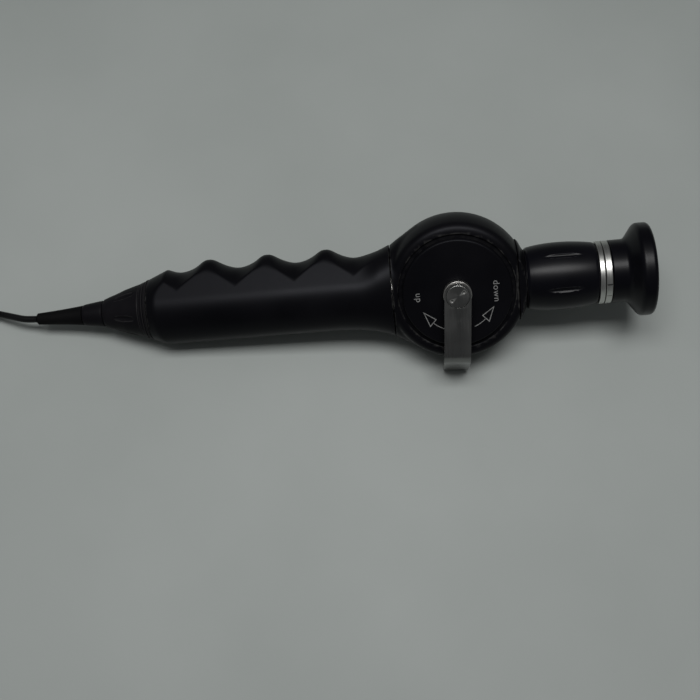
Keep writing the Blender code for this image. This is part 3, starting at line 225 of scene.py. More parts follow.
def object_place(tree, stretch=(1.0, 1.0, 1.0), on_instrument=True):
    """Object coordinates in metres, turned onto the instrument's axes and stretched."""
    place = tree.nodes.new("ShaderNodeTexCoord").outputs["Object"]
    if on_instrument:
        turn = {"Location": BALL_PLACE, "Rotation": INSTRUMENT_TURN.to_euler(), "Vector": place}
        place = add_node(tree, "ShaderNodeMapping", turn, vector_type="TEXTURE").outputs["Vector"]
    return add_node(tree, "ShaderNodeMapping", {"Scale": stretch, "Vector": place}).outputs["Vector"]


def add_noise(tree, place, scale, detail=3.0, roughness=0.5):
    inputs = {"Scale": scale, "Detail": detail, "Roughness": roughness, "Vector": place}
    return add_node(tree, "ShaderNodeTexNoise", inputs).outputs["Fac"]


def add_ramp(tree, factor, low, high, start=0.0, end=1.0):
    ramp = add_node(tree, "ShaderNodeValToRGB", {"Fac": factor})
    for stop, position, tone in zip(ramp.color_ramp.elements, (start, end), (low, high)):
        stop.position = position
        stop.color = (*tone, 1.0)
    return ramp.outputs["Color"]


def add_range(tree, factor, low, high, start=0.3, end=0.7):
    inputs = {"From Min": start, "From Max": end, "To Min": low, "To Max": high, "Value": factor}
    return add_node(tree, "ShaderNodeMapRange", inputs).outputs["Result"]


def add_math(tree, operation, first, second):
    inputs = {0: first, 1: second}
    return add_node(tree, "ShaderNodeMath", inputs, operation=operation, use_clamp=True).outputs["Value"]


def add_mix(tree, factor, tone, other):
    """Mixes a plain colour into a tone by a factor."""
    inputs = {"Factor": factor, "A": tone, "B": (*other, 1.0)}
    return add_node(tree, "ShaderNodeMix", inputs, data_type="RGBA").outputs["Result"]


def add_bump(tree, shader, height, strength, distance):
    bump = add_node(tree, "ShaderNodeBump", {"Strength": strength, "Distance": distance, "Height": height})
    tree.links.new(bump.outputs["Normal"], shader.inputs["Normal"])


def edge_wear(tree):
    """The share of rubbed edge that each piece carries on its points."""
    return add_node(tree, "ShaderNodeAttribute", {}, attribute_name="edge_wear").outputs["Fac"]


# Finishes

def dull_finish(name, base, smears, specular=0.5, grain=None, wear=None, worn=None, on_instrument=True):
    """Dull surface: two tones that drift, smears in its roughness, a fine grain and rubbed edges.

    base is scale, low tone, high tone, detail and end of the drift. smears is scale, low value, high
    value and detail. grain is scale, detail, strength and depth of the bumps.
    """
    material, tree, shader = new_material(name)
    place = object_place(tree, on_instrument=on_instrument)
    scale, low, high, detail, end = base
    tone = add_ramp(tree, add_noise(tree, place, scale, detail), low, high, 0.3, end)
    if worn:
        rubbed = wear(tree, place) if wear else edge_wear(tree)
        tone = add_mix(tree, rubbed, tone, worn)
    scale, low, high, detail = smears
    rough = add_range(tree, add_noise(tree, place, scale, detail), low, high)
    set_inputs(tree, shader, {"Base Color": tone, "Roughness": rough, "Specular IOR Level": specular})
    if grain:
        scale, detail, strength, depth = grain
        add_bump(tree, shader, add_noise(tree, place, scale, detail), strength, depth)
    return material, tree, shader, place


def broken_wear(tree, place):
    """Rubbed edges with unrubbed patches between them."""
    rubbed = add_range(tree, add_noise(tree, place, 420.0, 3.0), 0.0, 0.75, 0.42, 0.72)
    return add_math(tree, "MULTIPLY", edge_wear(tree), rubbed)


def satin_black():
    """Black anodised and bead-blasted light alloy of handle, ball and covers."""
    base = (55.0, (0.0022, 0.0022, 0.0030), (0.0040, 0.0039, 0.0050), 3.0, 0.7)
    material, tree, shader, place = dull_finish(
        "satin_black_alloy", base, (28.0, 0.34, 0.42, 5.0), 0.09,
        wear=broken_wear, worn=(0.055, 0.054, 0.052))
    shader.inputs["Specular Tint"].default_value = (0.90, 0.92, 1.0, 1.0)
    add_bump(tree, shader, add_noise(tree, place, 5200.0, 2.0, 0.6), 0.14, 0.00003)
    return material


def deep_black():
    """Polished bluish black anodising of focus ring and eyepiece cup, turned on a lathe."""
    base = (70.0, (0.0015, 0.0015, 0.0028), (0.0026, 0.0026, 0.0044), 3.0, 0.7)
    material, tree, shader, _ = dull_finish(
        "deep_black_anodising", base, (35.0, 0.26, 0.34, 4.0), 0.16, worn=(0.030, 0.030, 0.034))
    turning = add_noise(tree, object_place(tree, (9000.0, 120.0, 120.0)), 1.0, 2.0)
    add_bump(tree, shader, turning, 0.05, 0.00002)
    return material


def moulded_black():
    """Fine-grained black of the nose cone and the nut at the strain relief."""
    base = (60.0, (0.0045, 0.0042, 0.0055), (0.0075, 0.0070, 0.0085), 3.0, 0.7)
    return dull_finish("moulded_black", base, (40.0, 0.40, 0.52, 4.0), 0.07,
                       (3600.0, 2.0, 0.16, 0.00003), worn=(0.028, 0.027, 0.028))[0]


def black_rubber():
    """Matt rubber of the strain relief and the seals."""
    base = (80.0, (0.0028, 0.0028, 0.0032), (0.0056, 0.0055, 0.0058), 4.0, 0.75)
    return dull_finish("black_rubber", base, (150.0, 0.55, 0.72, 3.0), 0.06, (2600.0, 3.0, 0.22, 0.00005))[0]


def bending_rubber():
    """Thin soft rubber over the bending section."""
    base = (160.0, (0.0046, 0.0046, 0.0046), (0.0092, 0.0090, 0.0088), 4.0, 0.75)
    return dull_finish("bending_rubber", base, (200.0, 0.48, 0.62, 3.0), 0.5,
                       (3000.0, 3.0, 0.2, 0.00004), on_instrument=False)[0]


def tube_skin():
    """Smooth plastic skin of the insertion tube over its braid."""
    base = (120.0, (0.0036, 0.0036, 0.0042), (0.0065, 0.0065, 0.0070), 3.0, 0.7)
    material, tree, shader, place = dull_finish(
        "insertion_tube_skin", base, (60.0, 0.24, 0.38, 4.0), 0.2, on_instrument=False)
    braid = add_node(tree, "ShaderNodeTexVoronoi", {"Scale": 2400.0, "Vector": place})
    add_bump(tree, shader, braid.outputs["Distance"], 0.10, 0.00003)
    return material


def brushed_steel():
    """Stainless steel of the thumb lever, brushed along its length."""
    material, tree, shader = new_material("brushed_stainless_steel", metallic=1.0)
    brush = add_noise(tree, object_place(tree, (9000.0, 90.0, 900.0)), 1.0, 4.0, 0.6)
    smear = add_noise(tree, object_place(tree), 60.0, 4.0)
    base = add_ramp(tree, smear, (0.19, 0.19, 0.187), (0.25, 0.25, 0.243), 0.3, 0.7)
    tone = add_mix(tree, edge_wear(tree), base, (0.74, 0.74, 0.71))
    rough = add_math(tree, "ADD", add_range(tree, brush, 0.22, 0.34), add_range(tree, smear, 0.0, 0.07))
    set_inputs(tree, shader, {"Base Color": tone, "Roughness": rough, "Anisotropic": 0.35})
    add_bump(tree, shader, brush, 0.14, 0.00002)
    return material


def turned_metal(name, low, high, rough, scale=7000.0):
    """Lathe-turned metal with fine rings round the barrel."""
    material, tree, shader = new_material(name, metallic=1.0)
    rings = add_noise(tree, object_place(tree, (scale, 60.0, 60.0)), 1.0, 3.0)
    smear = add_noise(tree, object_place(tree), 90.0, 4.0)
    tone = add_ramp(tree, smear, low, high, 0.3, 0.7)
    grooves = add_range(tree, rings, rough, rough + 0.12)
    total = add_math(tree, "ADD", grooves, add_range(tree, smear, 0.0, 0.05))
    set_inputs(tree, shader, {"Base Color": tone, "Roughness": total})
    add_bump(tree, shader, rings, 0.10, 0.00002)
    return material


def clear_glass(name, tint):
    """Polished optical glass with a slight tint."""
    material, tree, shader = new_material(name)
    smear = add_noise(tree, object_place(tree), 300.0, 3.0)
    paler = tuple(min(1.0, value * 1.06) for value in tint)
    tone, rough = add_ramp(tree, smear, tint, paler), add_range(tree, smear, 0.02, 0.06)
    set_inputs(tree, shader, {
        "Base Color": tone, "Roughness": rough, "Transmission Weight": 0.85, "IOR": 1.6,
    })
    return material


def fibre_bundle():
    """Loose glass fibres under a thin grey skin."""
    material, tree, shader = new_material("fibre_bundle")
    strands = add_noise(tree, object_place(tree, (120.0, 6000.0, 6000.0)), 1.0, 3.0)
    tone = add_ramp(tree, strands, (0.20, 0.19, 0.16), (0.46, 0.43, 0.36))
    set_inputs(tree, shader, {"Base Color": tone, "Roughness": add_range(tree, strands, 0.30, 0.50)})
    add_bump(tree, shader, strands, 0.3, 0.00005)
    return material


def spotted_paint(name, scale, low, high, start, end):
    """Paint or filler that is thin at places."""
    material, tree, shader = new_material(name, 0.6)
    spots = add_noise(tree, object_place(tree), scale, 3.0)
    tree.links.new(add_ramp(tree, spots, low, high, start, end), shader.inputs["Base Color"])
    return material


FINISH = {
    "satin_black": satin_black(), "deep_black": deep_black(), "moulded_black": moulded_black(),
    "black_rubber": black_rubber(), "tube_skin": tube_skin(), "bending_rubber": bending_rubber(),
    "brushed_steel": brushed_steel(),
    "satin_silver": turned_metal("satin_silver", (0.52, 0.52, 0.50), (0.64, 0.64, 0.61), 0.24),
    "steel": turned_metal("turned_steel", (0.42, 0.41, 0.39), (0.55, 0.54, 0.52), 0.26),
    "brass": turned_metal("turned_brass", (0.50, 0.36, 0.15), (0.62, 0.46, 0.22), 0.30),
    "glass": clear_glass("optical_glass", (0.80, 0.86, 0.88)),
    "coated_glass": clear_glass("coated_glass", (0.42, 0.46, 0.62)),
    "fibre": fibre_bundle(),
    "legend_paint": spotted_paint("legend_paint", 1800.0, (0.11, 0.11, 0.11), (0.24, 0.24, 0.235), 0.3, 0.6),
    "mark_filler": spotted_paint("index_mark_filler", 1500.0, (0.006, 0.006, 0.007), (0.02, 0.02, 0.02),
                                 0.0, 1.0),
}


# Making meshes

def mark_worn_edges(mesh, least_angle=28.0):
    """Writes edge_wear on each point: one where it lies on a sharp outward edge."""
    bm = bmesh.new()
    bm.from_mesh(mesh)
    wear = np.zeros(len(bm.verts), np.float32)
    limit = math.radians(least_angle)
    for edge in bm.edges:
        if len(edge.link_faces) == 2 and edge.calc_face_angle_signed(0.0) > limit:
            for vertex in edge.verts:
                wear[vertex.index] = 1.0
    bm.free()
    mesh.attributes.new("edge_wear", "FLOAT", "POINT").data.foreach_set("value", wear)


def guarded(profile, margin=0.35):
    """Adds points near both ends of long steps, so that wear stays close to the edges."""
    made = [profile[0]]
    for (x0, r0), (x1, r1) in zip(profile, profile[1:]):
        length = math.hypot(x1 - x0, r1 - r0)
        if length > 3.0 * margin:
            for share in (margin / length, 1.0 - margin / length):
                made.append((x0 + (x1 - x0) * share, r0 + (r1 - r0) * share))
        made.append((x1, r1))
    return made


def baked_mesh(obj):
    """The object's mesh with its modifiers applied."""
    graph = bpy.context.evaluated_depsgraph_get()
    return bpy.data.meshes.new_from_object(obj.evaluated_get(graph))


def bare_object(name, mesh):
    obj = bpy.data.objects.new(name, mesh)
    bpy.context.scene.collection.objects.link(obj)
    return obj


def mesh_from(name, bm, place=INSTRUMENT):
    bmesh.ops.remove_doubles(bm, verts=bm.verts, dist=0.0004)
    bmesh.ops.recalc_face_normals(bm, faces=bm.faces)
    bm.transform(place)
    mesh = bpy.data.meshes.new(name)
    bm.to_mesh(mesh)
    bm.free()
    return mesh


def finish_piece(name, mesh, finish, body, replaced=(), sharp=32.0, cuts=(), bevel=0.0):
    """Cuts, bevels and shades a mesh, then makes it a piece that rides on its body."""
    obj = bare_object(name, mesh)
    tools = [bare_object("tool", cut) for cut in cuts]
    for tool in tools:
        step = obj.modifiers.new("cut", "BOOLEAN")
        step.operation = "DIFFERENCE"
        step.object = tool
        step.solver = "EXACT"
    if bevel:
        step = obj.modifiers.new("broken_edges", "BEVEL")
        step.width = bevel * MM
        step.segments = 3
        step.limit_method = "ANGLE"
        step.angle_limit = math.radians(40.0)
    if cuts or bevel:
        baked = baked_mesh(obj)
        obj.modifiers.clear()
        obj.data = baked
    for tool in tools:
        bpy.data.objects.remove(tool)
    obj.data.name = name
    obj.data.shade_smooth()
    obj.data.set_sharp_from_angle(angle=math.radians(sharp))
    mark_worn_edges(obj.data)
    obj.data.materials.clear()
    obj.data.materials.append(FINISH[finish])
    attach(obj, body)
    if replaced:
        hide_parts(*replaced)
    return obj


def rounded(points, radii, steps=5):
    """Rounds the corners of an outline; radii go with the points, zero leaves a corner sharp."""
    outline = []
    for index, (point, radius) in enumerate(zip(points, radii)):
        if radius <= 0.0 or index in (0, len(points) - 1):
            outline.append(point)
            continue
        corner = Vector(point)
        before = Vector(points[index - 1]) - corner
        after = Vector(points[index + 1]) - corner
        reach = min(radius, before.length * 0.49, after.length * 0.49)
        start = corner + before.normalized() * reach
        end = corner + after.normalized() * reach
        for t in np.linspace(0.0, 1.0, steps):
            spot = start * (1.0 - t) ** 2 + corner * 2.0 * t * (1.0 - t) + end * t * t
            outline.append((spot.x, spot.y))
    return outline


def revolve(profile, axis="X", steps=TURN_STEPS, middle=(0.0, 0.0, 0.0)):
    """A closed turned body from (along, radius) points round the barrel's or the pivot's direction."""
    bm = bmesh.new()
    rings = []
    for along, radius in profile:
        if radius < 1e-6:
            point = (along, 0.0, 0.0) if axis == "X" else (0.0, 0.0, along)
            rings.append([bm.verts.new(point)])
            continue
        ring = []
        for angle in np.linspace(0.0, math.tau, steps, endpoint=False):
            u, v = radius * math.cos(angle), radius * math.sin(angle)
            ring.append(bm.verts.new((along, u, v) if axis == "X" else (u, v, along)))
        rings.append(ring)
    pairs = list(zip(rings, rings[1:]))
    if len(rings[0]) > 1 and len(rings[-1]) > 1:
        pairs.append((rings[-1], rings[0]))
    for near, far in pairs:
        join_rings(bm, near, far)
    bmesh.ops.translate(bm, vec=middle, verts=bm.verts)
    return bm


def join_rings(bm, near, far):
    count = max(len(near), len(far))
    for j in range(count):
        k = (j + 1) % count
        corners = [near[j % len(near)], near[k % len(near)], far[k % len(far)], far[j % len(far)]]
        unique = list(dict.fromkeys(corners))
        if len(unique) > 2:
            bm.faces.new(unique)


def turned_piece(name, profile, finish, body, replaced=(), axis="X", steps=TURN_STEPS,
                 middle=(0.0, 0.0, 0.0), cuts=(), place=INSTRUMENT):
    mesh = mesh_from(name, revolve(guarded(profile), axis, steps, middle), place)
    return finish_piece(name, mesh, finish, body, replaced, cuts=cuts)


def skin(rings, bores=None):
    """A closed loft over rings of equal count, as a tube where the bore's rings are given."""
    bm = bmesh.new()
    made = [[bm.verts.new(point) for point in ring] for ring in rings]
    for near, far in zip(made, made[1:]):
        join_rings(bm, near, far)
    if bores is None:
        bm.faces.new(made[0])
        bm.faces.new(made[-1])
        return bm
    inner = [[bm.verts.new(point) for point in ring] for ring in bores]
    for near, far in zip([made[0], *inner], [*inner, made[-1]]):
        join_rings(bm, near, far)
    return bm


def rod(start, end, radius, axis="X", steps=SMALL_STEPS, middle=(0.0, 0.0, 0.0)):
    """Mesh of a plain rod that cuts a hole."""
    profile = [(start, 0.0), (start, radius), (end, radius), (end, 0.0)]
    return mesh_from("tool", revolve(profile, axis, steps, middle))


def smooth_value(points, x):
    """Reads a smooth curve through (x, value) points, without overshoot between them."""
    xs = np.array([p[0] for p in points])
    ys = np.array([p[1] for p in points])
    steps = np.diff(xs)
    slopes = np.diff(ys) / steps
    tangents = np.zeros(len(xs))
    tangents[0], tangents[-1] = slopes[0], slopes[-1]
    for i in range(1, len(xs) - 1):
        if slopes[i - 1] * slopes[i] > 0.0:
            tangents[i] = 2.0 * slopes[i - 1] * slopes[i] / (slopes[i - 1] + slopes[i])
    i = int(np.clip(np.searchsorted(xs, x) - 1, 0, len(steps) - 1))
    t = float(np.clip((x - xs[i]) / steps[i], 0.0, 1.0))
    left = (1.0 + 2.0 * t) * (1.0 - t) ** 2 * ys[i] + t * (1.0 - t) ** 2 * steps[i] * tangents[i]
    right = t * t * (3.0 - 2.0 * t) * ys[i + 1] + t * t * (t - 1.0) * steps[i] * tangents[i + 1]
    return left + right


def smooth_least(a, b, blend):
    """The smaller of two values, with a rounded change from one to the other."""
    share = np.clip(0.5 + 0.5 * (b - a) / blend, 0.0, 1.0)
    return b * (1.0 - share) + a * share - blend * share * (1.0 - share)


# Insertion tube on the table

TUBE_POINT_SPACING = 1.2
COIL_PLACE = (-153.0, 26.8)
COIL_TURN_POINTS = 36
COIL_LOWER_RADII = (17.5, 15.0, 12.5)
COIL_UPPER_RADII = (13.75, 16.25)
COIL_UPPER_HEIGHT = 3.55
ROUTE_TO_COIL = [
    (-109.7, 1.97, 8.34), (-114.5, 2.5, 7.7), (-120.0, 4.3, 6.5), (-126.0, 6.5, 4.6), (-132.0, 8.4, 2.7),
    (-138.0, 9.3, 1.6), (-142.9, 9.3, 1.35),
]
ROUTE_FROM_COIL = [
    (-164.2, 10.5, 3.3), (-170.0, 10.3, 2.0), (-176.0, 10.1, 1.4), (-182.0, 10.0, 1.35),
]


def smooth_route(points, spacing):
    """Points at an even spacing along a smooth curve through the given points."""
    knots = [Vector(p) for p in points]
    knots = [knots[0] * 2.0 - knots[1], *knots, knots[-1] * 2.0 - knots[-2]]
    fine = []
    for a, b, c, d in zip(knots, knots[1:], knots[2:], knots[3:]):
        for t in np.linspace(0.0, 1.0, 20, endpoint=False):
            fine.append(0.5 * (2.0 * b + (c - a) * t + (2.0 * a - 5.0 * b + 4.0 * c - d) * t ** 2
                               + (3.0 * b - a - 3.0 * c + d) * t ** 3))
    fine.append(knots[-2])
    lengths = np.concatenate([[0.0], np.cumsum([(q - p).length for p, q in zip(fine, fine[1:])])])
    count = max(2, round(lengths[-1] / spacing) + 1)
    wanted = np.linspace(0.0, lengths[-1], count)
    axes = [np.interp(wanted, lengths, [p[i] for p in fine]) for i in range(3)]
    return [Vector(p) for p in zip(*axes)]


def coil_turns():
    """Three turns inwards on the table, then two outwards on top of them, all in one sense."""
    radii = [*COIL_LOWER_RADII, *COIL_UPPER_RADII]
    heights = [TUBE_HEIGHT] * len(COIL_LOWER_RADII) + [COIL_UPPER_HEIGHT] * len(COIL_UPPER_RADII)
    turns = []
    for index in range(len(radii)):
        following = min(index + 1, len(radii) - 1)
        for step in range(COIL_TURN_POINTS):
            share = step / COIL_TURN_POINTS
            change = smooth_step((share - 0.55) / 0.45)
            radius = radii[index] + (radii[following] - radii[index]) * change
            height = heights[index] + (heights[following] - heights[index]) * change
            angle = -math.pi / 2.0 - math.tau * share
            across, along = radius * math.cos(angle), radius * math.sin(angle)
            turns.append(Vector((COIL_PLACE[0] + across, COIL_PLACE[1] + along, height)))
    turns.append(Vector((COIL_PLACE[0], COIL_PLACE[1] - radii[-1], heights[-1])))
    return turns


def smooth_step(share):
    share = min(1.0, max(0.0, share))
    return share * share * (3.0 - 2.0 * share)


def make_insertion_tube(distal_pieces):
    route = [*(Vector(p) for p in ROUTE_TO_COIL), *coil_turns(), *(Vector(p) for p in ROUTE_FROM_COIL)]
    points = smooth_route(route, TUBE_POINT_SPACING)
    curve = bpy.data.curves.new("insertion_tube_skin", "CURVE")
    curve.dimensions = "3D"
    curve.bevel_depth = TUBE_RADIUS * MM
    curve.bevel_resolution = 4
    curve.use_fill_caps = True
    spline = curve.splines.new("POLY")
    spline.points.add(len(points) - 1)
    for target, point in zip(spline.points, points):
        target.co = (*(point * MM), 1.0)
    spline.use_smooth = True
    tube = bare_object("insertion_tube_skin", curve)
    curve.materials.append(FINISH["tube_skin"])
    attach(tube, "root")
    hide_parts("insertion_tube", "tube_coil", "insertion_tube_end")


# Bending section

LINK_COUNT = 7
LINK_RADIUS = 0.9
LINK_END_RADIUS = 0.55
LINK_CHAMFER = 0.3
LINK_GAP = 0.2
LINK_BODIES = ["root", *(f"link_{index}" for index in range(1, LINK_COUNT + 1)), "tip"]
SLEEVE_BORE = 1.17
SLEEVE_WAIST = 0.03
COLLAR_SHOULDER = 1.5
TIP_SHOULDER = 2.6


def hinge_place(index):
    return Vector(JOINTS[f"bend_{index}"]["pos_m"])


def make_sleeves():
    """Rubber over the links, one length for each hinge."""
    pitch = (hinge_place(1) - hinge_place(2)).length / MM
    sleeves = []
    count = len(LINK_BODIES) - 1
    for index in range(1, count + 1):
        hinge = hinge_place(index) / MM
        start = hinge.x + (COLLAR_SHOULDER if index == 1 else pitch / 2.0)
        end = hinge.x - (TIP_SHOULDER if index == count else pitch / 2.0)
        stations = np.linspace(start, end, 15)
        waists = SLEEVE_WAIST * (1.0 - np.cos(math.tau * (stations - start) / (end - start)))
        profile = list(zip(stations, TUBE_RADIUS - waists))
        profile += [(x, SLEEVE_BORE) for x in reversed(stations)]
        name = f"bending_rubber_{index}"
        mesh = mesh_from(name, revolve(profile, "X", 32, (0.0, hinge.y, hinge.z)), TABLE)
        mesh.shade_smooth()
        mesh.materials.append(FINISH["bending_rubber"])
        sleeve = bare_object(name, mesh)
        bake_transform(sleeve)
        sleeves.append(sleeve)
    return sleeves


def make_links():
    """The links, slimmer than in the CAD so that the rubber covers them in every bend."""
    links = []
    for index in range(1, LINK_COUNT + 1):
        node = f"bending_link_{index}"
        low, high = (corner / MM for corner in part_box(node))
        start, end = low.x + LINK_GAP, high.x - LINK_GAP
        profile = [
            (start, 0.0), (start, LINK_END_RADIUS), (start + LINK_CHAMFER, LINK_RADIUS),
            (end - LINK_CHAMFER, LINK_RADIUS), (end, LINK_END_RADIUS), (end, 0.0),
        ]
        middle = (0.0, (low.y + high.y) / 2.0, (low.z + high.z) / 2.0)
        links.append(turned_piece(node + "_fine", profile, "steel", f"link_{index}", [node],
                                  middle=middle, steps=SMALL_STEPS, place=TABLE))
    return links


# Handle

HANDLE_FRONT_X = -108.6
SHOULDER_RADIUS = 10.9
SHOULDER_SLOPE = 0.42
SHOULDER_ROUNDING = 0.35
GRIP_RADIUS = 12.9
GRIP_HALF_WIDTH = 12.15
FLANK_ANGLE = math.radians(32.0)
SCALLOP_PITCH = 20.75
SCALLOP_COUNT = 4
FIRST_SCALLOP_X = -96.6
LAST_SCALLOP_X = FIRST_SCALLOP_X + (SCALLOP_COUNT - 1) * SCALLOP_PITCH
SCALLOP_CREST = 16.3
SCALLOP_TROUGH = 12.4
SCOOP_RISE = 5.5
CREST_ROUNDING = 1.2
RUN_OUT_POWER = 1.7
RUN_OUT_HASTE = 1.5
RIM_TROUGH = 8.9
RIM_CREST = 14.3
RIM_SHIFT = -0.6
RIM_STEEPNESS = 1.2
RIM_FLATTENING = 0.4
SEAM_LOWER_RADIUS = 17.0
SEAM_UPPER_RADIUS = 15.8
SEAM_HALF_WIDTH = 11.4
SEAM_SQUARENESS = 2.2
EDGE_ROUNDING = 0.35
SIDE_STEPS = 24
TOP_STEPS = 16
LOWER_STEPS = 80
RIM_GATHERING = 1.6
HANDLE_STATION_SPACING = 0.5
LOWER_RADIUS = [
    (HANDLE_FRONT_X, GRIP_RADIUS), (HEAD_START_X - 21.0, GRIP_RADIUS), (HEAD_START_X - 12.0, 13.5),
    (HEAD_START_X - 5.0, 14.9), (HEAD_START_X, SEAM_LOWER_RADIUS), (HEAD_START_X + 3.0, 18.8),
    (HEAD_START_X + 7.0, 21.0), (HEAD_START_X + 10.0, 22.4),
]
NECK_UPPER_RADIUS = [
    (HEAD_START_X, SEAM_UPPER_RADIUS), (HEAD_START_X + 3.0, 18.0), (HEAD_START_X + 7.0, 20.5),
    (HEAD_START_X + 10.0, 22.2),
]
HALF_WIDTH = [
    (HANDLE_FRONT_X, GRIP_HALF_WIDTH), (HEAD_START_X - 12.0, GRIP_HALF_WIDTH),
    (HEAD_START_X, SEAM_HALF_WIDTH), (HEAD_START_X + 4.0, HEAD_HALF_THICKNESS),
    (HEAD_START_X + 10.0, HEAD_HALF_THICKNESS - 0.6),
]
NECK_SQUARENESS = [(HEAD_START_X, SEAM_SQUARENESS), (HEAD_START_X + 10.0, 2.0)]


def run_out(x):
    """Zero at the last scallop, one at the ball's seam."""
    return max(0.0, (x - LAST_SCALLOP_X) / (HEAD_START_X - LAST_SCALLOP_X))


def from_scallop(x):
    """Distance to the nearest scallop's middle as a share of half the pitch."""
    phase = (x - FIRST_SCALLOP_X) / SCALLOP_PITCH
    return 2.0 * abs(phase - round(phase))


def top_height(x):
    """Height of the handle's back over its axis: shallow scoops between rounded crests."""
    if x > LAST_SCALLOP_X:
        rise = SEAM_UPPER_RADIUS + EDGE_ROUNDING - SCALLOP_TROUGH
        return SCALLOP_TROUGH + rise * run_out(x) ** RUN_OUT_POWER
    scoop = SCALLOP_TROUGH + SCOOP_RISE * from_scallop(x) ** 2
    return float(smooth_least(scoop, SCALLOP_CREST, CREST_ROUNDING))


def top_arch(x):
    """How strongly the back is arched from side to side, so that it meets the flanks at the rim."""
    share = float(smooth_least(RIM_STEEPNESS * from_scallop(x - RIM_SHIFT), 1.0, RIM_FLATTENING))
    rim = RIM_TROUGH + (RIM_CREST - RIM_TROUGH) * share
    rim_side = (GRIP_HALF_WIDTH - rim * math.sin(FLANK_ANGLE)) / math.cos(FLANK_ANGLE)
    return (top_height(x) - rim) / rim_side ** 2


def rounded_reach(angle, upper, lower, half, power):
    """Distance from the axis to a section that is round below and a little squarer above."""
    rise = math.sin(angle)
    side, bend = (upper, power) if rise >= 0.0 else (lower, 2.0)
    return (abs(math.cos(angle) / half) ** bend + abs(rise / side) ** bend) ** (-1.0 / bend)


def flanked_reach(angle, lower, half):
    """Distance from the axis to a round body whose upper sides run up as flat flanks."""
    if math.sin(angle) < 0.0:
        return rounded_reach(angle, half, lower, half, 2.0)
    past_flank = math.asin(math.sin(angle)) - FLANK_ANGLE
    return half / math.cos(max(0.0, past_flank))


def arch_reach(angle, x):
    """Distance from the axis to the arched back of the handle."""
    rise, width = math.sin(angle), math.cos(angle)
    bend = top_arch(x) * width * width
    if abs(bend) < 1e-6:
        return top_height(x) / rise
    return (-rise + math.sqrt(rise * rise + 4.0 * bend * top_height(x))) / (2.0 * bend)


def grip_reach(angle, x):
    """Distance from the handle's axis to its surface, with rims rounded a little."""
    lower, half = smooth_value(LOWER_RADIUS, x), smooth_value(HALF_WIDTH, x)
    reach = flanked_reach(angle, lower, half)
    if math.sin(angle) > 0.02:
        reach = float(smooth_least(reach, arch_reach(angle, x), EDGE_ROUNDING))
    blend = smooth_step(RUN_OUT_HASTE * run_out(x))
    reach += (rounded_reach(angle, top_height(x), lower, half, SEAM_SQUARENESS) - reach) * blend
    shoulder = SHOULDER_RADIUS + SHOULDER_SLOPE * (x - HANDLE_FRONT_X)
    return float(smooth_least(reach, shoulder, SHOULDER_ROUNDING))


def rim_angle(x):
    """Where the flank meets the arched back, as an angle from the side."""
    low, high = 0.1, math.pi / 2.0
    for _ in range(30):
        middle = (low + high) / 2.0
        inside = flanked_reach(middle, GRIP_RADIUS, GRIP_HALF_WIDTH) < arch_reach(middle, x)
        low, high = (middle, high) if inside else (low, middle)
    return low


def grip_section(x):
    """One fine section across the handle, with points gathered at the rims."""
    rim = rim_angle(x)
    side = [rim * (1.0 - (1.0 - i / SIDE_STEPS) ** RIM_GATHERING) for i in range(SIDE_STEPS)]
    top = [rim + (math.pi / 2.0 - rim) * (i / TOP_STEPS) ** RIM_GATHERING for i in range(TOP_STEPS)]
    near = side + top
    angles = near + [math.pi / 2.0] + [math.pi - a for a in reversed(near[1:])]
    angles += [math.pi * (1.0 + i / LOWER_STEPS) for i in range(LOWER_STEPS)]
    reaches = [grip_reach(angle, x) for angle in angles]
    return [(x, reach * math.sin(angle), reach * math.cos(angle)) for reach, angle in zip(reaches, angles)]


def make_handle():
    seam_chamfer = 0.15
    stations = [HANDLE_FRONT_X + seam_chamfer * 0.2]
    stations += list(np.arange(HANDLE_FRONT_X + 0.5, HANDLE_END_X - seam_chamfer, HANDLE_STATION_SPACING))
    stations += [HANDLE_END_X - seam_chamfer]
    rings = [grip_section(x) for x in stations]
    count = len(rings[0])
    ends = [shrunk(rings[0], seam_chamfer, HANDLE_FRONT_X), shrunk(rings[-1], seam_chamfer, HANDLE_END_X)]
    rings = [ends[0], *rings, ends[1]]
    angles = np.linspace(0.0, math.tau, count, endpoint=False)
    bores = [
        [(x, CORE_BORE * math.sin(a), CORE_BORE * math.cos(a)) for a in angles]
        for x in (HANDLE_FRONT_X, HANDLE_END_X)
    ]
    mesh = mesh_from("handle_grip_fine", skin(rings, bores))
    finish_piece("handle_grip_fine", mesh, "satin_black", "root", ["handle_grip"], sharp=40.0)


def shrunk(ring, amount, x):
    """The same ring drawn in by an amount and moved along to x."""
    made = []
    for _, y, z in ring:
        length = math.hypot(y, z)
        made.append((x, y * (1.0 - amount / length), z * (1.0 - amount / length)))
    return made


# Control head

HEAD_STEPS = 192
NECK_LENGTH = 10.0
NECK_FILLET = 0.8
RECESS_LIP = 0.22
HEAD_SEAM_CHAMFER = 0.25
COVER_STEPS = 224
COVER_CHAMFER = 0.55
COVER_ROUNDING = 0.25
SPIGOT_ROUNDING = 0.3


def inside_ball(r, z):
    """Whether a point at distance r from the pivot and height z lies in the ball with its flats."""
    fillet = HEAD_EDGE_FILLET
    ball, flat = HEAD_RADIUS - fillet, HEAD_HALF_THICKNESS - fillet
    corner = math.sqrt(ball ** 2 - flat ** 2)
    length = np.hypot(r, z)
    on_ball = z * ball <= flat * length
    past_flat = np.where(r <= corner, z - flat, np.hypot(r - corner, z - flat))
    return np.where(on_ball, length - ball, past_flat) <= fillet


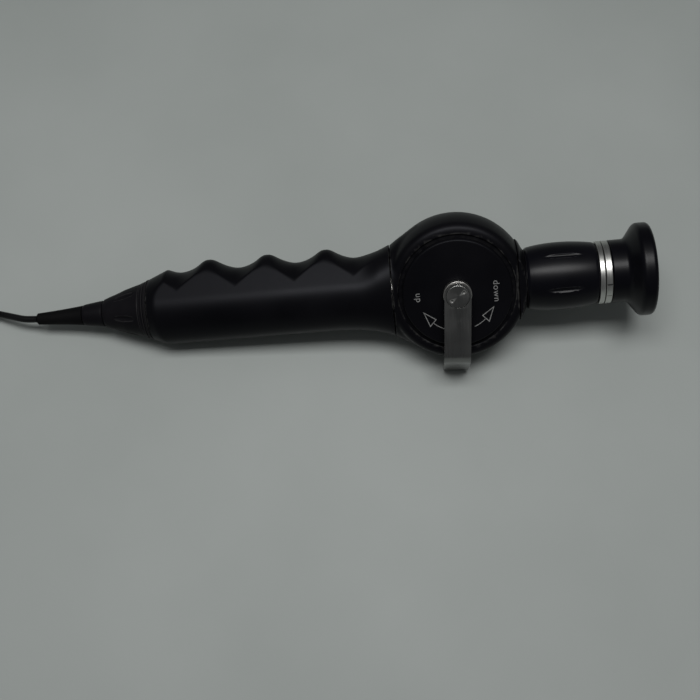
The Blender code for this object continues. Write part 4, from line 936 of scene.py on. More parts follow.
def ball_reach(x, angles):
    """Distance from the barrel's axis to the ball's surface at station x, for each angle."""
    low, high = np.zeros(len(angles)), np.full(len(angles), HEAD_RADIUS + 1.0)
    for _ in range(40):
        middle = (low + high) / 2.0
        inside = inside_ball(np.hypot(x, middle * np.cos(angles)), np.abs(middle * np.sin(angles)))
        low, high = np.where(inside, middle, low), np.where(inside, high, middle)
    return low


def neck_reach(x, angles):
    """Distance from the barrel's axis to the neck that takes the handle's end section into the ball."""
    lower, upper, half = (smooth_value(table, x) for table in (LOWER_RADIUS, NECK_UPPER_RADIUS, HALF_WIDTH))
    power = smooth_value(NECK_SQUARENESS, x)
    return np.array([rounded_reach(math.pi / 2.0 - angle, upper, lower, half, power) for angle in angles])


def head_ring(x):
    angles = np.linspace(0.0, math.tau, HEAD_STEPS, endpoint=False)
    reach = ball_reach(x, angles)
    if x < HEAD_START_X + NECK_LENGTH:
        reach = -smooth_least(-reach, -neck_reach(x, angles), NECK_FILLET)
    return [(x, r * math.cos(a), r * math.sin(a)) for r, a in zip(reach, angles)]


def recess_tool():
    """Spool that sinks both covers' recesses and the cavity, with softly broken recess edges."""
    reach = HEAD_RADIUS + 5.0
    part_lip = RECESS_LIP * 0.35
    half = [
        (COVER_SEAT, HEAD_CAVITY_RADIUS), (COVER_SEAT, RECESS_RADIUS),
        (HEAD_HALF_THICKNESS - RECESS_LIP, RECESS_RADIUS),
        (HEAD_HALF_THICKNESS - part_lip, RECESS_RADIUS + part_lip),
        (HEAD_HALF_THICKNESS + 0.002, RECESS_RADIUS + RECESS_LIP),
        (reach, RECESS_RADIUS + RECESS_LIP), (reach, 0.0),
    ]
    profile = [(-z, r) for z, r in reversed(half)] + half
    return mesh_from("tool", revolve(profile, "Z", 256))


def make_head():
    first, last = HEAD_START_X + HEAD_SEAM_CHAMFER, HEAD_END_X - HEAD_SEAM_CHAMFER
    neck_end = HEAD_START_X + 12.0
    stations = [*np.linspace(first, neck_end, 34, endpoint=False), *np.linspace(neck_end, last, 70)]
    rings = [head_ring(x) for x in stations]
    rings.insert(0, shrunk(rings[0], HEAD_SEAM_CHAMFER, HEAD_START_X))
    rings.append(shrunk(rings[-1], HEAD_SEAM_CHAMFER, HEAD_END_X))
    cuts = [recess_tool(), rod(HEAD_START_X - 2.0, -1.0, CORE_BORE), rod(1.0, HEAD_END_X + 2.0, OCULAR_BORE)]
    mesh = mesh_from("head_casting", skin(rings))
    finish_piece("head_casting", mesh, "satin_black", "root", ["head_shell"],
                 sharp=24.0, cuts=cuts)


def cover_outline(hole):
    """Half section of a cover with its rounded rim and the spigot behind it."""
    seat = COVER_SEAT + CLEARANCE
    spigot = HEAD_CAVITY_RADIUS - CLEARANCE
    points = [
        (COVER_TOP, hole), (COVER_TOP, COVER_RADIUS - COVER_CHAMFER),
        (COVER_TOP - COVER_CHAMFER, COVER_RADIUS), (seat, COVER_RADIUS),
        (seat, spigot), (COVER_FOOT, spigot), (COVER_FOOT, hole),
    ]
    return rounded(points, [0.0, COVER_ROUNDING, COVER_ROUNDING, 0.0, 0.0, SPIGOT_ROUNDING, 0.0], 4)


def screw_hole_outline():
    """Half section of a screw's hole in the back cover: broken edge, sunk head and room for the shank."""
    face = -COVER_TOP
    return [
        (face - 1.0, 0.0), (face - 1.0, SCREW_SINK_RADIUS + 0.25), (face, SCREW_SINK_RADIUS + 0.25),
        (face + 0.22, SCREW_SINK_RADIUS), (face + SCREW_SINK_DEPTH, SCREW_SINK_RADIUS),
        (face + SCREW_SINK_DEPTH, SCREW_HOLE_RADIUS), (0.0, SCREW_HOLE_RADIUS), (0.0, 0.0),
    ]


def make_covers():
    front = cover_outline(SHAFT_BORE)
    turned_piece("front_cover_fine", front, "satin_black", "root", ["front_cover"],
                 "Z", COVER_STEPS)
    holes = []
    for x, y in screw_places():
        holes.append(mesh_from("tool", revolve(screw_hole_outline(), "Z", SMALL_STEPS, (x, y, 0.0))))
    back = [(-z, r) for z, r in cover_outline(POST_NECK_BORE)]
    turned_piece("back_cover_fine", back, "satin_black", "root", ["back_cover"],
                 "Z", COVER_STEPS, cuts=holes)
    make_cover_screws()


# Cover screws, placed by Geometry Nodes

SCREW_RING = 16.6
SCREW_COUNT = 3
SCREW_FIRST_ANGLE = math.radians(90.0)
SCREW_SINK_RADIUS = 1.7
SCREW_SINK_DEPTH = 1.1
SCREW_HOLE_RADIUS = 1.0
SCREW_HEAD_RADIUS = 1.5
SCREW_HEAD_HEIGHT = 0.9
SCREW_SHANK_RADIUS = 0.8
SCREW_LENGTH = 5.6
CROSS_SIZE = (1.7, 0.32, 0.9)


def screw_places():
    angles = [SCREW_FIRST_ANGLE + math.tau / SCREW_COUNT * i for i in range(SCREW_COUNT)]
    return [(SCREW_RING * math.cos(angle), SCREW_RING * math.sin(angle)) for angle in angles]


def block(size, middle=(0.0, 0.0, 0.0), turn=0.0, axis="Z"):
    """A plain box round its middle, turned about an axis of the instrument."""
    bm = bmesh.new()
    bmesh.ops.create_cube(bm, size=1.0)
    bmesh.ops.scale(bm, vec=size, verts=bm.verts)
    bmesh.ops.translate(bm, vec=middle, verts=bm.verts)
    bmesh.ops.rotate(bm, cent=(0.0, 0.0, 0.0), matrix=Matrix.Rotation(turn, 3, axis), verts=bm.verts)
    return bm


def screw_mesh():
    """A small pan-head screw with a cross recess, its head at zero and pointing down."""
    points = [
        (0.0, 0.0), (0.0, SCREW_HEAD_RADIUS - 0.35), (0.28, SCREW_HEAD_RADIUS),
        (SCREW_HEAD_HEIGHT, SCREW_HEAD_RADIUS), (SCREW_HEAD_HEIGHT, SCREW_SHANK_RADIUS),
        (SCREW_LENGTH - 0.4, SCREW_SHANK_RADIUS), (SCREW_LENGTH, SCREW_SHANK_RADIUS - 0.35),
        (SCREW_LENGTH, 0.0),
    ]
    profile = rounded(points, [0.0, 0.3, 0.3, 0.0, 0.0, 0.1, 0.0, 0.0], 4)
    plain = Matrix.Identity(4)
    obj = bare_object("screw", mesh_from("screw", revolve(profile, "Z", SMALL_STEPS), plain))
    bars = [mesh_from("tool", block(CROSS_SIZE, turn=turn), plain) for turn in (0.0, math.pi / 2.0)]
    tools = [bare_object("tool", bar) for bar in bars]
    for tool in tools:
        step = obj.modifiers.new("cut", "BOOLEAN")
        step.object = tool
        step.solver = "EXACT"
    cut = baked_mesh(obj)
    for extra in (obj, *tools):
        bpy.data.objects.remove(extra)
    cut.shade_smooth()
    cut.set_sharp_from_angle(angle=math.radians(32.0))
    return cut


def socket_id(tree, name):
    """The identifier of a named input of a Geometry Nodes tree."""
    inputs = [item for item in tree.interface.items_tree if item.in_out == "INPUT"]
    return next(item.identifier for item in inputs if item.name == name)


def ring_of_copies_tree(name, pattern, material):
    """Geometry Nodes: copies of a small mesh on a ring round Z, sized and placed by named inputs."""
    tree = bpy.data.node_groups.new(name, "GeometryNodeTree")
    tree.interface.new_socket("Geometry", in_out="OUTPUT", socket_type="NodeSocketGeometry")
    count = tree.interface.new_socket("Count", in_out="INPUT", socket_type="NodeSocketInt")
    count.default_value = 3
    for label in ("Ring radius", "Height", "First angle"):
        tree.interface.new_socket(label, in_out="INPUT", socket_type="NodeSocketFloat")
    given = tree.nodes.new("NodeGroupInput").outputs
    circle = {"Vertices": given["Count"], "Radius": given["Ring radius"]}
    ring = add_node(tree, "GeometryNodeMeshCircle", circle).outputs["Mesh"]
    centre = add_node(tree, "ShaderNodeCombineXYZ", {"Z": given["Height"]}).outputs["Vector"]
    spin = add_node(tree, "ShaderNodeCombineXYZ", {"Z": given["First angle"]}).outputs["Vector"]
    move = {"Geometry": ring, "Translation": centre, "Rotation": spin}
    moved = add_node(tree, "GeometryNodeTransform", move).outputs["Geometry"]
    source = add_node(tree, "GeometryNodeObjectInfo", {"Object": pattern}).outputs["Geometry"]
    spread = {"Points": moved, "Instance": source}
    copies = add_node(tree, "GeometryNodeInstanceOnPoints", spread).outputs["Instances"]
    real = add_node(tree, "GeometryNodeRealizeInstances", {"Geometry": copies}).outputs["Geometry"]
    paint = {"Geometry": real, "Material": material}
    painted = add_node(tree, "GeometryNodeSetMaterial", paint).outputs["Geometry"]
    add_node(tree, "NodeGroupOutput", {"Geometry": painted})
    return tree


def copies_on_ring(name, pattern_mesh, finish, place, sizes):
    """Runs the ring tree with its named sizes and gives its plain mesh, already in its place."""
    pattern = bare_object("pattern", pattern_mesh)
    tree = ring_of_copies_tree(name, pattern, FINISH[finish])
    carrier = bare_object(name, bpy.data.meshes.new(name))
    step = carrier.modifiers.new("copies", "NODES")
    step.node_group = tree
    for label, value in sizes.items():
        step[socket_id(tree, label)] = value
    mesh = baked_mesh(carrier)
    mesh.transform(place)
    bpy.data.objects.remove(carrier)
    bpy.data.objects.remove(pattern)
    return mesh


def make_cover_screws():
    sizes = {
        "Count": SCREW_COUNT, "Ring radius": SCREW_RING,
        "Height": -COVER_TOP + 0.05, "First angle": SCREW_FIRST_ANGLE,
    }
    mesh = copies_on_ring("cover_screws", screw_mesh(), "steel", INSTRUMENT, sizes)
    nodes = [f"cover_screw_{index}" for index in range(1, SCREW_COUNT + 1)]
    finish_piece("cover_screws", mesh, "steel", "root", nodes)


# Legends on the front cover

LEGEND_THICKNESS = 0.03
ARROW_ARC_RADIUS = 13.4
ARROW_LINE = 0.30
ARROW_HEAD_LENGTH = 4.9
ARROW_HEAD_HALF_WIDTH = 1.55
UP_TIP_ANGLE = math.radians(-153.1)
DOWN_TIP_ANGLE = math.radians(-25.8)
LEVER_SIDE_ANGLE = math.radians(22.5)
LETTER_SIZE = 3.1
LETTER_SPACING = 1.12
UP_WORD_PLACE = (-13.3, -0.5)
DOWN_WORD_PLACE = (13.3, -0.3)


def ribbon(bm, points, width, closed=False):
    """A flat closed strip of one width along points on the cover, a little proud of it."""
    path = [Vector(p) for p in points]
    count = len(path)
    rings = []
    for i, point in enumerate(path):
        before = path[(i - 1) % count] if closed or i else point
        after = path[(i + 1) % count] if closed or i < count - 1 else point
        first, second = (point - before), (after - point)
        first = first.normalized() if first.length else second.normalized()
        second = second.normalized() if second.length else first
        tangent = (first + second).normalized()
        side = Vector((-tangent.y, tangent.x)) * (width / 2.0 / max(0.45, tangent.dot(first)))
        low, high = COVER_TOP - 0.01, COVER_TOP + LEGEND_THICKNESS
        corners = [(point + side, high), (point - side, high), (point - side, low), (point + side, low)]
        rings.append([bm.verts.new((spot.x, spot.y, z)) for spot, z in corners])
    for near, far in zip(rings, rings[1:]):
        join_rings(bm, near, far)
    if closed:
        join_rings(bm, rings[-1], rings[0])
    else:
        bm.faces.new(rings[0])
        bm.faces.new(rings[-1])


def make_arrow(name, tip_angle, sense):
    """Outlined arrow head with a curved tail that runs towards the lever."""
    bm = bmesh.new()
    sweep = ARROW_HEAD_LENGTH / ARROW_ARC_RADIUS
    base_angle = tip_angle - sense * sweep

    def on_arc(angle, extra=0.0):
        radius = ARROW_ARC_RADIUS + extra
        return (radius * math.cos(angle), radius * math.sin(angle))

    half = ARROW_HEAD_HALF_WIDTH
    head = [on_arc(tip_angle), on_arc(base_angle, half), on_arc(base_angle, -half)]
    ribbon(bm, head, ARROW_LINE, closed=True)
    tail_end = -math.pi / 2.0 + sense * LEVER_SIDE_ANGLE
    tail_start = base_angle - sense * ARROW_LINE / ARROW_ARC_RADIUS
    tail = [on_arc(a) for a in np.linspace(tail_start, tail_end, 24)]
    ribbon(bm, tail, ARROW_LINE * 0.8)
    finish_piece(name, mesh_from(name, bm), "legend_paint", "root")


def make_word(name, word, middle):
    """A printed word whose letters stand towards the eyepiece."""
    curve = bpy.data.curves.new(name, "FONT")
    curve.body = word
    curve.align_x = "CENTER"
    curve.align_y = "CENTER"
    curve.size = LETTER_SIZE
    curve.space_character = LETTER_SPACING
    curve.extrude = LEGEND_THICKNESS / 2.0
    text = bare_object(name + "_outline", curve)
    mesh = baked_mesh(text)
    bpy.data.objects.remove(text)
    turn = Matrix.Rotation(-math.pi / 2.0, 4, "Z")
    mesh.transform(INSTRUMENT @ Matrix.Translation((*middle, COVER_TOP + LEGEND_THICKNESS / 2.0)) @ turn)
    finish_piece(name, mesh, "legend_paint", "root")


def make_legends():
    make_arrow("legend_arrow_up", UP_TIP_ANGLE, -1.0)
    make_arrow("legend_arrow_down", DOWN_TIP_ANGLE, 1.0)
    make_word("legend_up", "up", UP_WORD_PLACE)
    make_word("legend_down", "down", DOWN_WORD_PLACE)


# Nose, nut and strain relief

NOSE_FLUTE = {"count": 6, "half_length": 5.8, "half_width": 1.4, "depth": 0.75, "first": math.radians(2.5)}
NOSE_FLUTE_BACK = 8.6
NOSE_BORE = 1.5
NOSE_END_RADIUS = 5.3
NUT_BORE = 1.5
NUT_RADIUS = 4.7
NUT_END_RADIUS = 3.85
BOOT_BORE = 1.45
BOOT_RADIUS = 3.5
BOOT_TAPER = 1.45
BOOT_WAIST = 0.1


def fluted_mesh(name, outer, inner, steps, middle, count, half_length, half_width, depth, first):
    """A turned body whose outer surface is cut by a ring of long shallow flutes."""
    angles = np.linspace(0.0, math.tau, steps, endpoint=False)
    rise = half_width * 1.6
    rings = []
    for x, r in outer:
        reach = np.full(steps, r)
        along = ((x - middle) / half_length) ** 2
        if along < 1.0:
            for index in range(count):
                centre = first + math.tau * index / count
                gap = (angles - centre + math.pi) % math.tau - math.pi
                across = (r * np.sin(np.clip(gap, -1.2, 1.2)) / half_width) ** 2
                room = np.sqrt(np.clip(1.0 - along - across, 0.0, 1.0))
                floor = r - depth + rise - rise * room
                floor = np.where(along + across < 1.0, floor, 1e3)
                reach = np.minimum(reach, smooth_least(np.full(steps, r), floor, 0.10))
        rings.append([(x, s * -math.sin(a), s * math.cos(a)) for s, a in zip(reach, angles)])
    inner_rings = [[(x, r * -math.sin(a), r * math.cos(a)) for a in angles] for x, r in inner]
    bm = bmesh.new()
    loops = [[bm.verts.new(p) for p in ring] for ring in rings + inner_rings]
    for near, far in zip(loops, [*loops[1:], loops[0]]):
        join_rings(bm, near, far)
    return mesh_from(name, bm)


def dense(profile, spacing):
    """The same outline with points added so that no step is longer than the spacing."""
    made = [profile[0]]
    for (x0, r0), (x1, r1) in zip(profile, profile[1:]):
        pieces = max(1, math.ceil(math.hypot(x1 - x0, r1 - r0) / spacing))
        for i in range(1, pieces + 1):
            made.append((x0 + (x1 - x0) * i / pieces, r0 + (r1 - r0) * i / pieces))
    return made


def make_nose():
    end, start = along_barrel("nose_cone")[0], HANDLE_FRONT_X - CLEARANCE
    rim = SHOULDER_RADIUS
    outer = [
        (start, rim - 0.35), (start - 0.2, rim - 0.1), (start - 0.75, rim - 0.25),
        (start - 0.95, rim - 0.7), (start - 1.23, rim - 0.9), (start - 1.51, rim - 0.7),
        (start - 2.65, rim - 1.05), (start - 2.75, rim - 1.3), (start - 3.05, rim - 1.4),
        (start - 3.25, rim - 1.35), (start - 5.1, rim - 1.85), (start - 9.1, rim - 3.0),
        (start - 12.1, rim - 4.15), (end + 2.0, NOSE_END_RADIUS + 0.45), (end + 0.8, NOSE_END_RADIUS),
        (end + 0.3, NOSE_END_RADIUS - 0.2), (end, NOSE_END_RADIUS - 0.55),
    ]
    inner = [(end, NOSE_BORE), (start, NOSE_BORE)]
    middle = start - NOSE_FLUTE_BACK
    mesh = fluted_mesh("nose_cone_fine", dense(outer, 0.18), inner, 300, middle, **NOSE_FLUTE)
    finish_piece("nose_cone_fine", mesh, "moulded_black", "root", ["nose_cone"], sharp=30.0)


def make_boot():
    """The nut that holds the rubber boot, and the tapering boot round the tube."""
    end, start = along_barrel("boot_nut")
    points = [
        (start, NUT_BORE), (start, NUT_RADIUS - 0.35), (start - 0.35, NUT_RADIUS),
        (start - 0.9, NUT_RADIUS - 0.05), (end + 0.8, NUT_END_RADIUS),
        (end, NUT_END_RADIUS - 0.25), (end, NUT_BORE),
    ]
    nut = rounded(points, [0.0, 0.15, 0.2, 0.2, 0.3, 0.15, 0.0])
    turned_piece("boot_nut_fine", nut, "moulded_black", "root", ["boot_nut"])
    end, start = along_barrel("strain_relief")
    boot = [(start, BOOT_BORE)]
    for x in np.linspace(start, end + 0.4, 60):
        share = (start - x) / (start - end)
        boot.append((x, BOOT_RADIUS - BOOT_TAPER * share - BOOT_WAIST * math.sin(math.pi * share)))
    tip = BOOT_RADIUS - BOOT_TAPER
    boot += [(end + 0.15, tip - 0.1), (end, tip - 0.3), (end, BOOT_BORE)]
    turned_piece("strain_relief_fine", boot, "black_rubber", "root", ["strain_relief"])


# Eyepiece end

FOCUS_FLUTE = {"count": 6, "half_length": 10.4, "half_width": 1.3, "depth": 0.5, "first": math.radians(10.0)}
FOCUS_FLUTE_SHARE = 0.52
FOCUS_GREASE_RADIUS = 9.6
FOCUS_LAND_FRONT = 8.0
FOCUS_LAND_BACK = 4.0
COLLAR_INSET = 0.25
RING_STEPS = 256
RING_EDGE = 0.12
INDEX_ANGLE = math.radians(9.3)
INDEX_WIDTH = 0.55
SECOND_MARK_ANGLE = math.radians(34.0)
SECOND_MARK_WIDTH = 0.28
MARK_DEPTH = 0.18
CUP_STEPS = 224
CUP_RIM_RADIUS = 16.1
CUP_NECK_LENGTH = 6.2
CUP_FLARE_LENGTH = 2.7
WINDOW_DOME = 0.25


def make_collar():
    """Short cone behind the ball, with the ball's flats carried on to it."""
    start, end = along_barrel("ocular_collar")[0], COLLAR_END_X
    radius = barrel_radius("ocular_collar") - COLLAR_INSET
    points = [
        (start, OCULAR_BORE), (start, radius - 0.12), (start + 0.15, radius), (start + 0.8, radius - 0.7),
        (end - 0.45, BARREL_RADIUS - 0.1), (end, BARREL_RADIUS - 0.65), (end, OCULAR_BORE),
    ]
    bm = revolve(rounded(points, [0.0, 0.1, 0.2, 0.3, 0.3, 0.1, 0.0]), "X", RING_STEPS)
    for vertex in bm.verts:
        vertex.co.z = max(-HEAD_HALF_THICKNESS, min(HEAD_HALF_THICKNESS, vertex.co.z))
    mesh = mesh_from("ocular_collar_fine", bm)
    finish_piece("ocular_collar_fine", mesh, "satin_black", "root", ["ocular_collar"])


def focus_outline():
    """The focus ring's swelling outline, steeper towards the ball, with a step at each end."""
    length = FOCUS_END_X - FOCUS_START_X
    foot = BARREL_RADIUS - 0.35
    rise = FOCUS_BELLY - foot
    outline = [(FOCUS_START_X, foot - 0.4), (FOCUS_START_X + 0.22, foot - 0.1)]
    for share in np.linspace(0.035, 0.965, 90):
        lift = math.sin(math.pi * share ** 0.92) ** 0.8
        outline.append((FOCUS_START_X + length * share, foot + rise * lift))
    outline += [(FOCUS_END_X - 0.3, foot), (FOCUS_END_X, foot - 0.3)]
    return outline


def make_focus_ring():
    front, back = FOCUS_START_X + FOCUS_LAND_FRONT, FOCUS_END_X - FOCUS_LAND_BACK
    inner = [
        (FOCUS_END_X, OCULAR_BORE), (back, OCULAR_BORE), (back, FOCUS_GREASE_RADIUS),
        (front, FOCUS_GREASE_RADIUS), (front, OCULAR_BORE), (FOCUS_START_X, OCULAR_BORE),
    ]
    middle = FOCUS_START_X + (FOCUS_END_X - FOCUS_START_X) * FOCUS_FLUTE_SHARE
    mesh = fluted_mesh("focus_ring_fine", dense(focus_outline(), 0.25), inner, 480, middle, **FOCUS_FLUTE)
    finish_piece("focus_ring_fine", mesh, "deep_black", "focus", ["focus_ring"], sharp=30.0)


def ring_outline(start, end):
    points = [
        (start, OCULAR_BORE), (start, BARREL_RADIUS - RING_EDGE), (start + RING_EDGE, BARREL_RADIUS),
        (end - RING_EDGE, BARREL_RADIUS), (end, BARREL_RADIUS - RING_EDGE), (end, OCULAR_BORE),
    ]
    return rounded(points, [0.0, 0.06, 0.06, 0.06, 0.06, 0.0], 3)


def mark_slot(start, end, angle, width):
    """Cutter for an engraved line along the barrel at an angle from the pivot's direction."""
    height = 0.8
    size = (end - start + 2.0, width, height)
    middle = ((start + end) / 2.0, 0.0, BARREL_RADIUS - MARK_DEPTH + height / 2.0)
    return mesh_from("tool", block(size, middle, angle, "X"))


def mark_fill(name, start, end, angle, width):
    """The filler that lies on the floor of an engraved line."""
    thickness = 0.1
    size = (end - start - 0.3, width * 0.96, thickness)
    middle = ((start + end) / 2.0, 0.0, BARREL_RADIUS - MARK_DEPTH + 0.01 + thickness / 2.0)
    finish_piece(name, mesh_from(name, block(size, middle, angle, "X")), "mark_filler", "root")


def make_rings():
    start, end = along_barrel("scale_ring")
    profile = ring_outline(start, end)
    turned_piece("scale_ring_fine", profile, "satin_silver", "focus", ["scale_ring"],
                 steps=RING_STEPS)
    start, end = along_barrel("index_ring")
    profile = ring_outline(start, end)
    cuts = [
        mark_slot(start, end, INDEX_ANGLE, INDEX_WIDTH),
        mark_slot(start, end, SECOND_MARK_ANGLE, SECOND_MARK_WIDTH),
    ]
    turned_piece("index_ring_fine", profile, "satin_silver", "root", ["index_ring"],
                 steps=RING_STEPS, cuts=cuts)
    mark_fill("index_mark", start, end, INDEX_ANGLE, INDEX_WIDTH)
    mark_fill("second_mark", start, end, SECOND_MARK_ANGLE, SECOND_MARK_WIDTH)


def make_cup():
    """Eyepiece cup: neck, flare, thick rounded rim, shallow mouth and the window's seat."""
    start, end = along_barrel("eyepiece_cup")
    front, back = along_barrel("eyepiece_window")
    window = barrel_radius("eyepiece_window")
    neck_end = start + CUP_NECK_LENGTH
    rim_start = neck_end + CUP_FLARE_LENGTH
    rim = CUP_RIM_RADIUS
    points = [
        (start, OCULAR_BORE), (start, BARREL_RADIUS - 0.25), (start + 0.25, BARREL_RADIUS + 0.02),
        (neck_end - 1.0, BARREL_RADIUS + 0.05), (neck_end, BARREL_RADIUS + 0.9), (rim_start, rim - 0.6),
        (rim_start + 0.9, rim), (end - 0.9, rim), (end, rim - 0.9), (end, rim - 3.0), (end - 0.9, rim - 3.8),
        (back + 1.6, window + 1.2), (back + 0.3, window + 0.2), (front - 0.3, window + 0.2),
        (front - 0.3, window - 0.8), (front - 1.5, window - 0.8), (front - 1.5, OCULAR_BORE),
    ]
    radii = [0.0, 0.15, 0.15, 0.9, 0.7, 0.5, 0.6, 0.8, 0.8, 0.7, 0.8, 0.6, 0.2, 0.0, 0.0, 0.0, 0.0]
    profile = rounded(points, radii, 7)
    turned_piece("eyepiece_cup_fine", profile, "deep_black", "root", ["eyepiece_cup"],
                 steps=CUP_STEPS)


def make_ocular_window():
    """Window in the cup, slightly domed towards the eye."""
    start, end = along_barrel("eyepiece_window")
    radius = barrel_radius("eyepiece_window")
    profile = [(start, 0.0), (start, radius)]
    for share in np.linspace(1.0, 0.0, 9):
        profile.append((end - WINDOW_DOME * share ** 2, radius * share))
    turned_piece("eyepiece_window_fine", profile, "coated_glass", "root", ["eyepiece_window"],
                 steps=96)


# Thumb lever

LEVER_WIDTH = 9.1
LEVER_TURN = math.radians(-4.0)
LEVER_ARM = 22.8
LEVER_BEND = math.radians(62.0)
LEVER_BEND_RADIUS = 4.0
LEVER_FLANGE = 18.9
LEVER_CORNER = 1.1
LEVER_EDGE_BEVEL = 0.28
CAP_HOLE_RING = 2.5
CAP_HOLE_ANGLE = math.radians(34.0)
CAP_HOLE_RADIUS = 0.5
CAP_HOLE_DEPTH = 0.75
HUB_BORE = 2.4


def lever_stations():
    """Middle line of the lever plate in its side view, with its lean and half width at each point."""
    half = LEVER_WIDTH / 2.0
    middle = (LEVER_BOTTOM + LEVER_TOP) / 2.0
    stations = []
    for angle in np.linspace(0.06, math.pi / 2.0, 24):
        stations.append((half * math.cos(angle), middle, 0.0, half * math.sin(angle)))
    bend_start = -LEVER_ARM + LEVER_BEND_RADIUS * math.tan(LEVER_BEND / 2.0)
    stations += [(y, middle, 0.0, half) for y in np.linspace(-2.0, bend_start + 1.0, 9)]
    for angle in np.linspace(0.0, LEVER_BEND, 18):
        y = bend_start - LEVER_BEND_RADIUS * math.sin(angle)
        z = middle - LEVER_BEND_RADIUS * (1.0 - math.cos(angle))
        stations.append((y, z, angle, half))
    last = Vector(stations[-1][:2])
    reach, drop = LEVER_FLANGE * math.cos(LEVER_BEND), LEVER_FLANGE * math.sin(LEVER_BEND)
    end = Vector((-LEVER_ARM - reach, middle - drop))
    corner = LEVER_CORNER / (end - last).length
    flange = [(share, half) for share in (0.25, 0.5, 0.75, 1.0 - corner)]
    for angle in np.linspace(0.0, math.pi / 2.0, 7)[1:]:
        share = 1.0 - corner + corner * math.sin(angle)
        flange.append((share, half - LEVER_CORNER * (1.0 - math.cos(angle))))
    for share, width in flange:
        stations.append((*last.lerp(end, share), LEVER_BEND, width))
    return stations


def lever_plate():
    """The bent plate, with a narrow strip along each edge so that its bevel stays even."""
    rings = []
    for y, z, lean, half in lever_stations():
        shift = Vector((0.0, -math.sin(lean), math.cos(lean))) * ((LEVER_TOP - LEVER_BOTTOM) / 2.0)
        middle = Vector((0.0, y, z))
        across = (half, half - 0.45, 0.0, 0.45 - half, -half)
        top = [middle + shift + Vector((x, 0.0, 0.0)) for x in across]
        rings.append(top + [middle - shift + Vector((x, 0.0, 0.0)) for x in reversed(across)])
    return mesh_from("thumb_lever_fine", skin(rings), INSTRUMENT @ Matrix.Rotation(LEVER_TURN, 4, "Z"))


def make_lever():
    cap_radius = pivot_radius("lever_cap")
    seat = rod(LEVER_BOTTOM - 1.0, LEVER_TOP + 1.0, cap_radius + 0.12, "Z", 96)
    finish_piece("thumb_lever_fine", lever_plate(), "brushed_steel", "lever", ["thumb_lever"],
                 cuts=[seat], bevel=LEVER_EDGE_BEVEL)
    foot, top = along_pivot("lever_cap")
    cap = rounded([(foot, 0.0), (foot, cap_radius), (top, cap_radius), (top, 0.0)], [0.0, 0.1, 0.22, 0.0])
    broken_edge = CAP_HOLE_RADIUS + 0.12
    hole = [
        (top - CAP_HOLE_DEPTH, 0.0), (top - CAP_HOLE_DEPTH + 0.2, CAP_HOLE_RADIUS - 0.02),
        (top - 0.1, CAP_HOLE_RADIUS), (top + 0.02, broken_edge), (top + 1.0, broken_edge), (top + 1.0, 0.0),
    ]
    holes = []
    for angle in (CAP_HOLE_ANGLE, CAP_HOLE_ANGLE + math.pi):
        place = (CAP_HOLE_RING * math.cos(angle), CAP_HOLE_RING * math.sin(angle), 0.0)
        holes.append(mesh_from("tool", revolve(hole, "Z", SMALL_STEPS, place)))
    turned_piece("lever_cap_fine", cap, "brushed_steel", "lever", ["lever_cap"],
                 "Z", cuts=holes)
    foot, top = along_pivot("lever_hub")
    radius = pivot_radius("lever_hub")
    hub = rounded([(foot, HUB_BORE), (foot, radius), (top, radius), (top, HUB_BORE)], [0.0, 0.25, 0.25, 0.0])
    turned_piece("lever_hub_fine", hub, "steel", "lever", ["lever_hub"], "Z", 96)


# Light post on the back

POST_RADIUS = 4.4
POST_NECK_RADIUS = 3.2
POST_BORE = 1.3
POST_MOUTH_RADIUS = 2.4
POST_WINDOW_RADIUS = 2.2


def make_light_post():
    """Stepped post that a light cable is pushed on, with its window in a shallow mouth."""
    end, inner = along_pivot("light_post")
    face = -COVER_TOP - CLEARANCE
    flange = pivot_radius("light_post")
    waist = POST_RADIUS - 0.8
    points = [
        (inner, POST_BORE), (inner, POST_NECK_RADIUS), (face, POST_NECK_RADIUS), (face, flange),
        (face - 2.0, flange), (face - 2.5, waist), (face - 5.0, waist), (face - 5.5, POST_RADIUS),
        (end + 0.5, POST_RADIUS), (end, POST_RADIUS - 0.5), (end, POST_MOUTH_RADIUS),
        (end + 1.4, POST_MOUTH_RADIUS), (end + 1.4, POST_BORE),
    ]
    post = rounded(points, [0.0, 0.0, 0.0, 0.25, 0.3, 0.3, 0.3, 0.3, 0.3, 0.2, 0.2, 0.0, 0.0])
    turned_piece("light_post_fine", post, "steel", "root", ["light_post"], "Z", 112)
    low, high = along_pivot("light_post_window")
    points = [(low, 0.0), (low, POST_WINDOW_RADIUS), (high, POST_WINDOW_RADIUS), (high, 0.0)]
    window = rounded(points, [0.0, 0.15, 0.1, 0.0])
    turned_piece("light_window_fine", window, "glass", "root", ["light_post_window"], "Z", 64)


# Distal end

TIP_NECK_RADIUS = 1.0
LENS_SEAT_RADIUS = 0.5


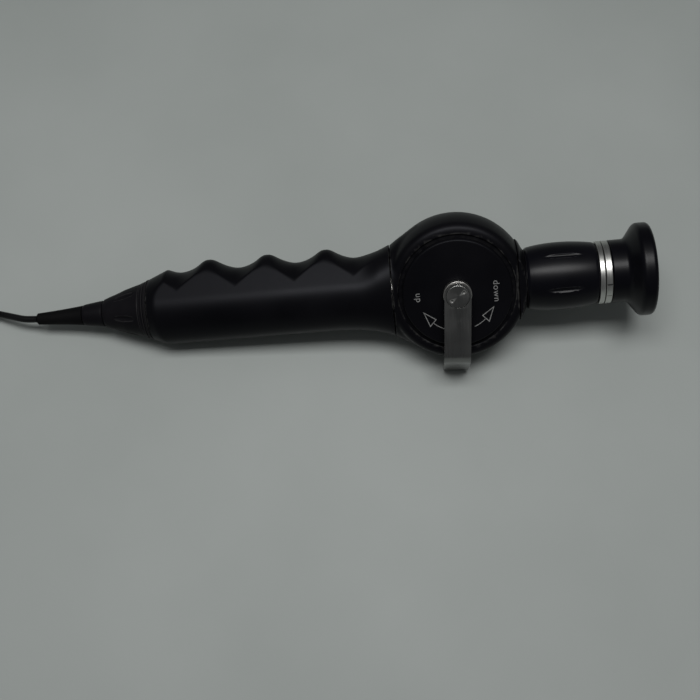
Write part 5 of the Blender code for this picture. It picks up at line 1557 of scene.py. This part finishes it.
def make_tip():
    """Steel tip with a stepped neck under the rubber and a lens seat in its face."""
    low, high = (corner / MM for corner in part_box("distal_tip"))
    middle = (0.0, (low.y + high.y) / 2.0, (low.z + high.z) / 2.0)
    shoulder, front = hinge_place(LINK_COUNT + 1).x / MM - TIP_SHOULDER, low.x
    points = [
        (shoulder + 1.3, 0.0), (shoulder + 1.3, TIP_NECK_RADIUS), (shoulder - 0.1, TIP_NECK_RADIUS),
        (shoulder - 0.12, TUBE_RADIUS), (front + 0.35, TUBE_RADIUS), (front, TUBE_RADIUS - 0.3), (front, 0.0),
    ]
    profile = rounded(points, [0.0, 0.1, 0.0, 0.1, 0.3, 0.2, 0.0])
    broken_edge = LENS_SEAT_RADIUS + 0.12
    seat = [
        (front - 1.0, 0.0), (front - 1.0, broken_edge), (front, broken_edge),
        (front + 0.12, LENS_SEAT_RADIUS), (front + 0.9, LENS_SEAT_RADIUS), (front + 0.9, 0.0),
    ]
    cut = mesh_from("tool", revolve(seat, "X", SMALL_STEPS, middle), TABLE)
    return turned_piece("distal_tip_fine", profile, "steel", "tip", ["distal_tip"], steps=64,
                        middle=middle, cuts=[cut], place=TABLE)


# CAD nodes that stay as they are and only take a finish

CARRIED = {
    "black_rubber": ["front_seal", "back_seal", "tube_root"],
    "steel": ["core_tube", "wire_sheath_up", "wire_sheath_down", "pull_wire_up", "pull_wire_down",
              "pivot_shaft", "shaft_clip", "focus_pin", "distal_collar"],
    "brass": ["sheath_stop", "wire_guide_block", "pivot_bush", "wire_drum", "lens_cell"],
    "fibre": ["image_guide", "light_guide"],
    "glass": ["ocular_lens", "tip_lens"],
    "deep_black": ["ocular_tube"],
}


def paint_carried_nodes():
    for finish, names in CARRIED.items():
        for name in names:
            for slot in frame["nodes"][name].material_slots:
                slot.material = FINISH[finish]


make_camera()
make_light()
make_table()
on_tube = [*make_sleeves(), make_tip(), frame["nodes"]["distal_collar"], frame["nodes"]["tip_lens"]]
make_insertion_tube([*on_tube, *make_links()])
make_handle()
make_head()
make_covers()
make_legends()
make_nose()
make_boot()
make_collar()
make_focus_ring()
make_rings()
make_cup()
make_ocular_window()
make_lever()
make_light_post()
paint_carried_nodes()

bpy.context.scene.view_settings.view_transform = "Standard"
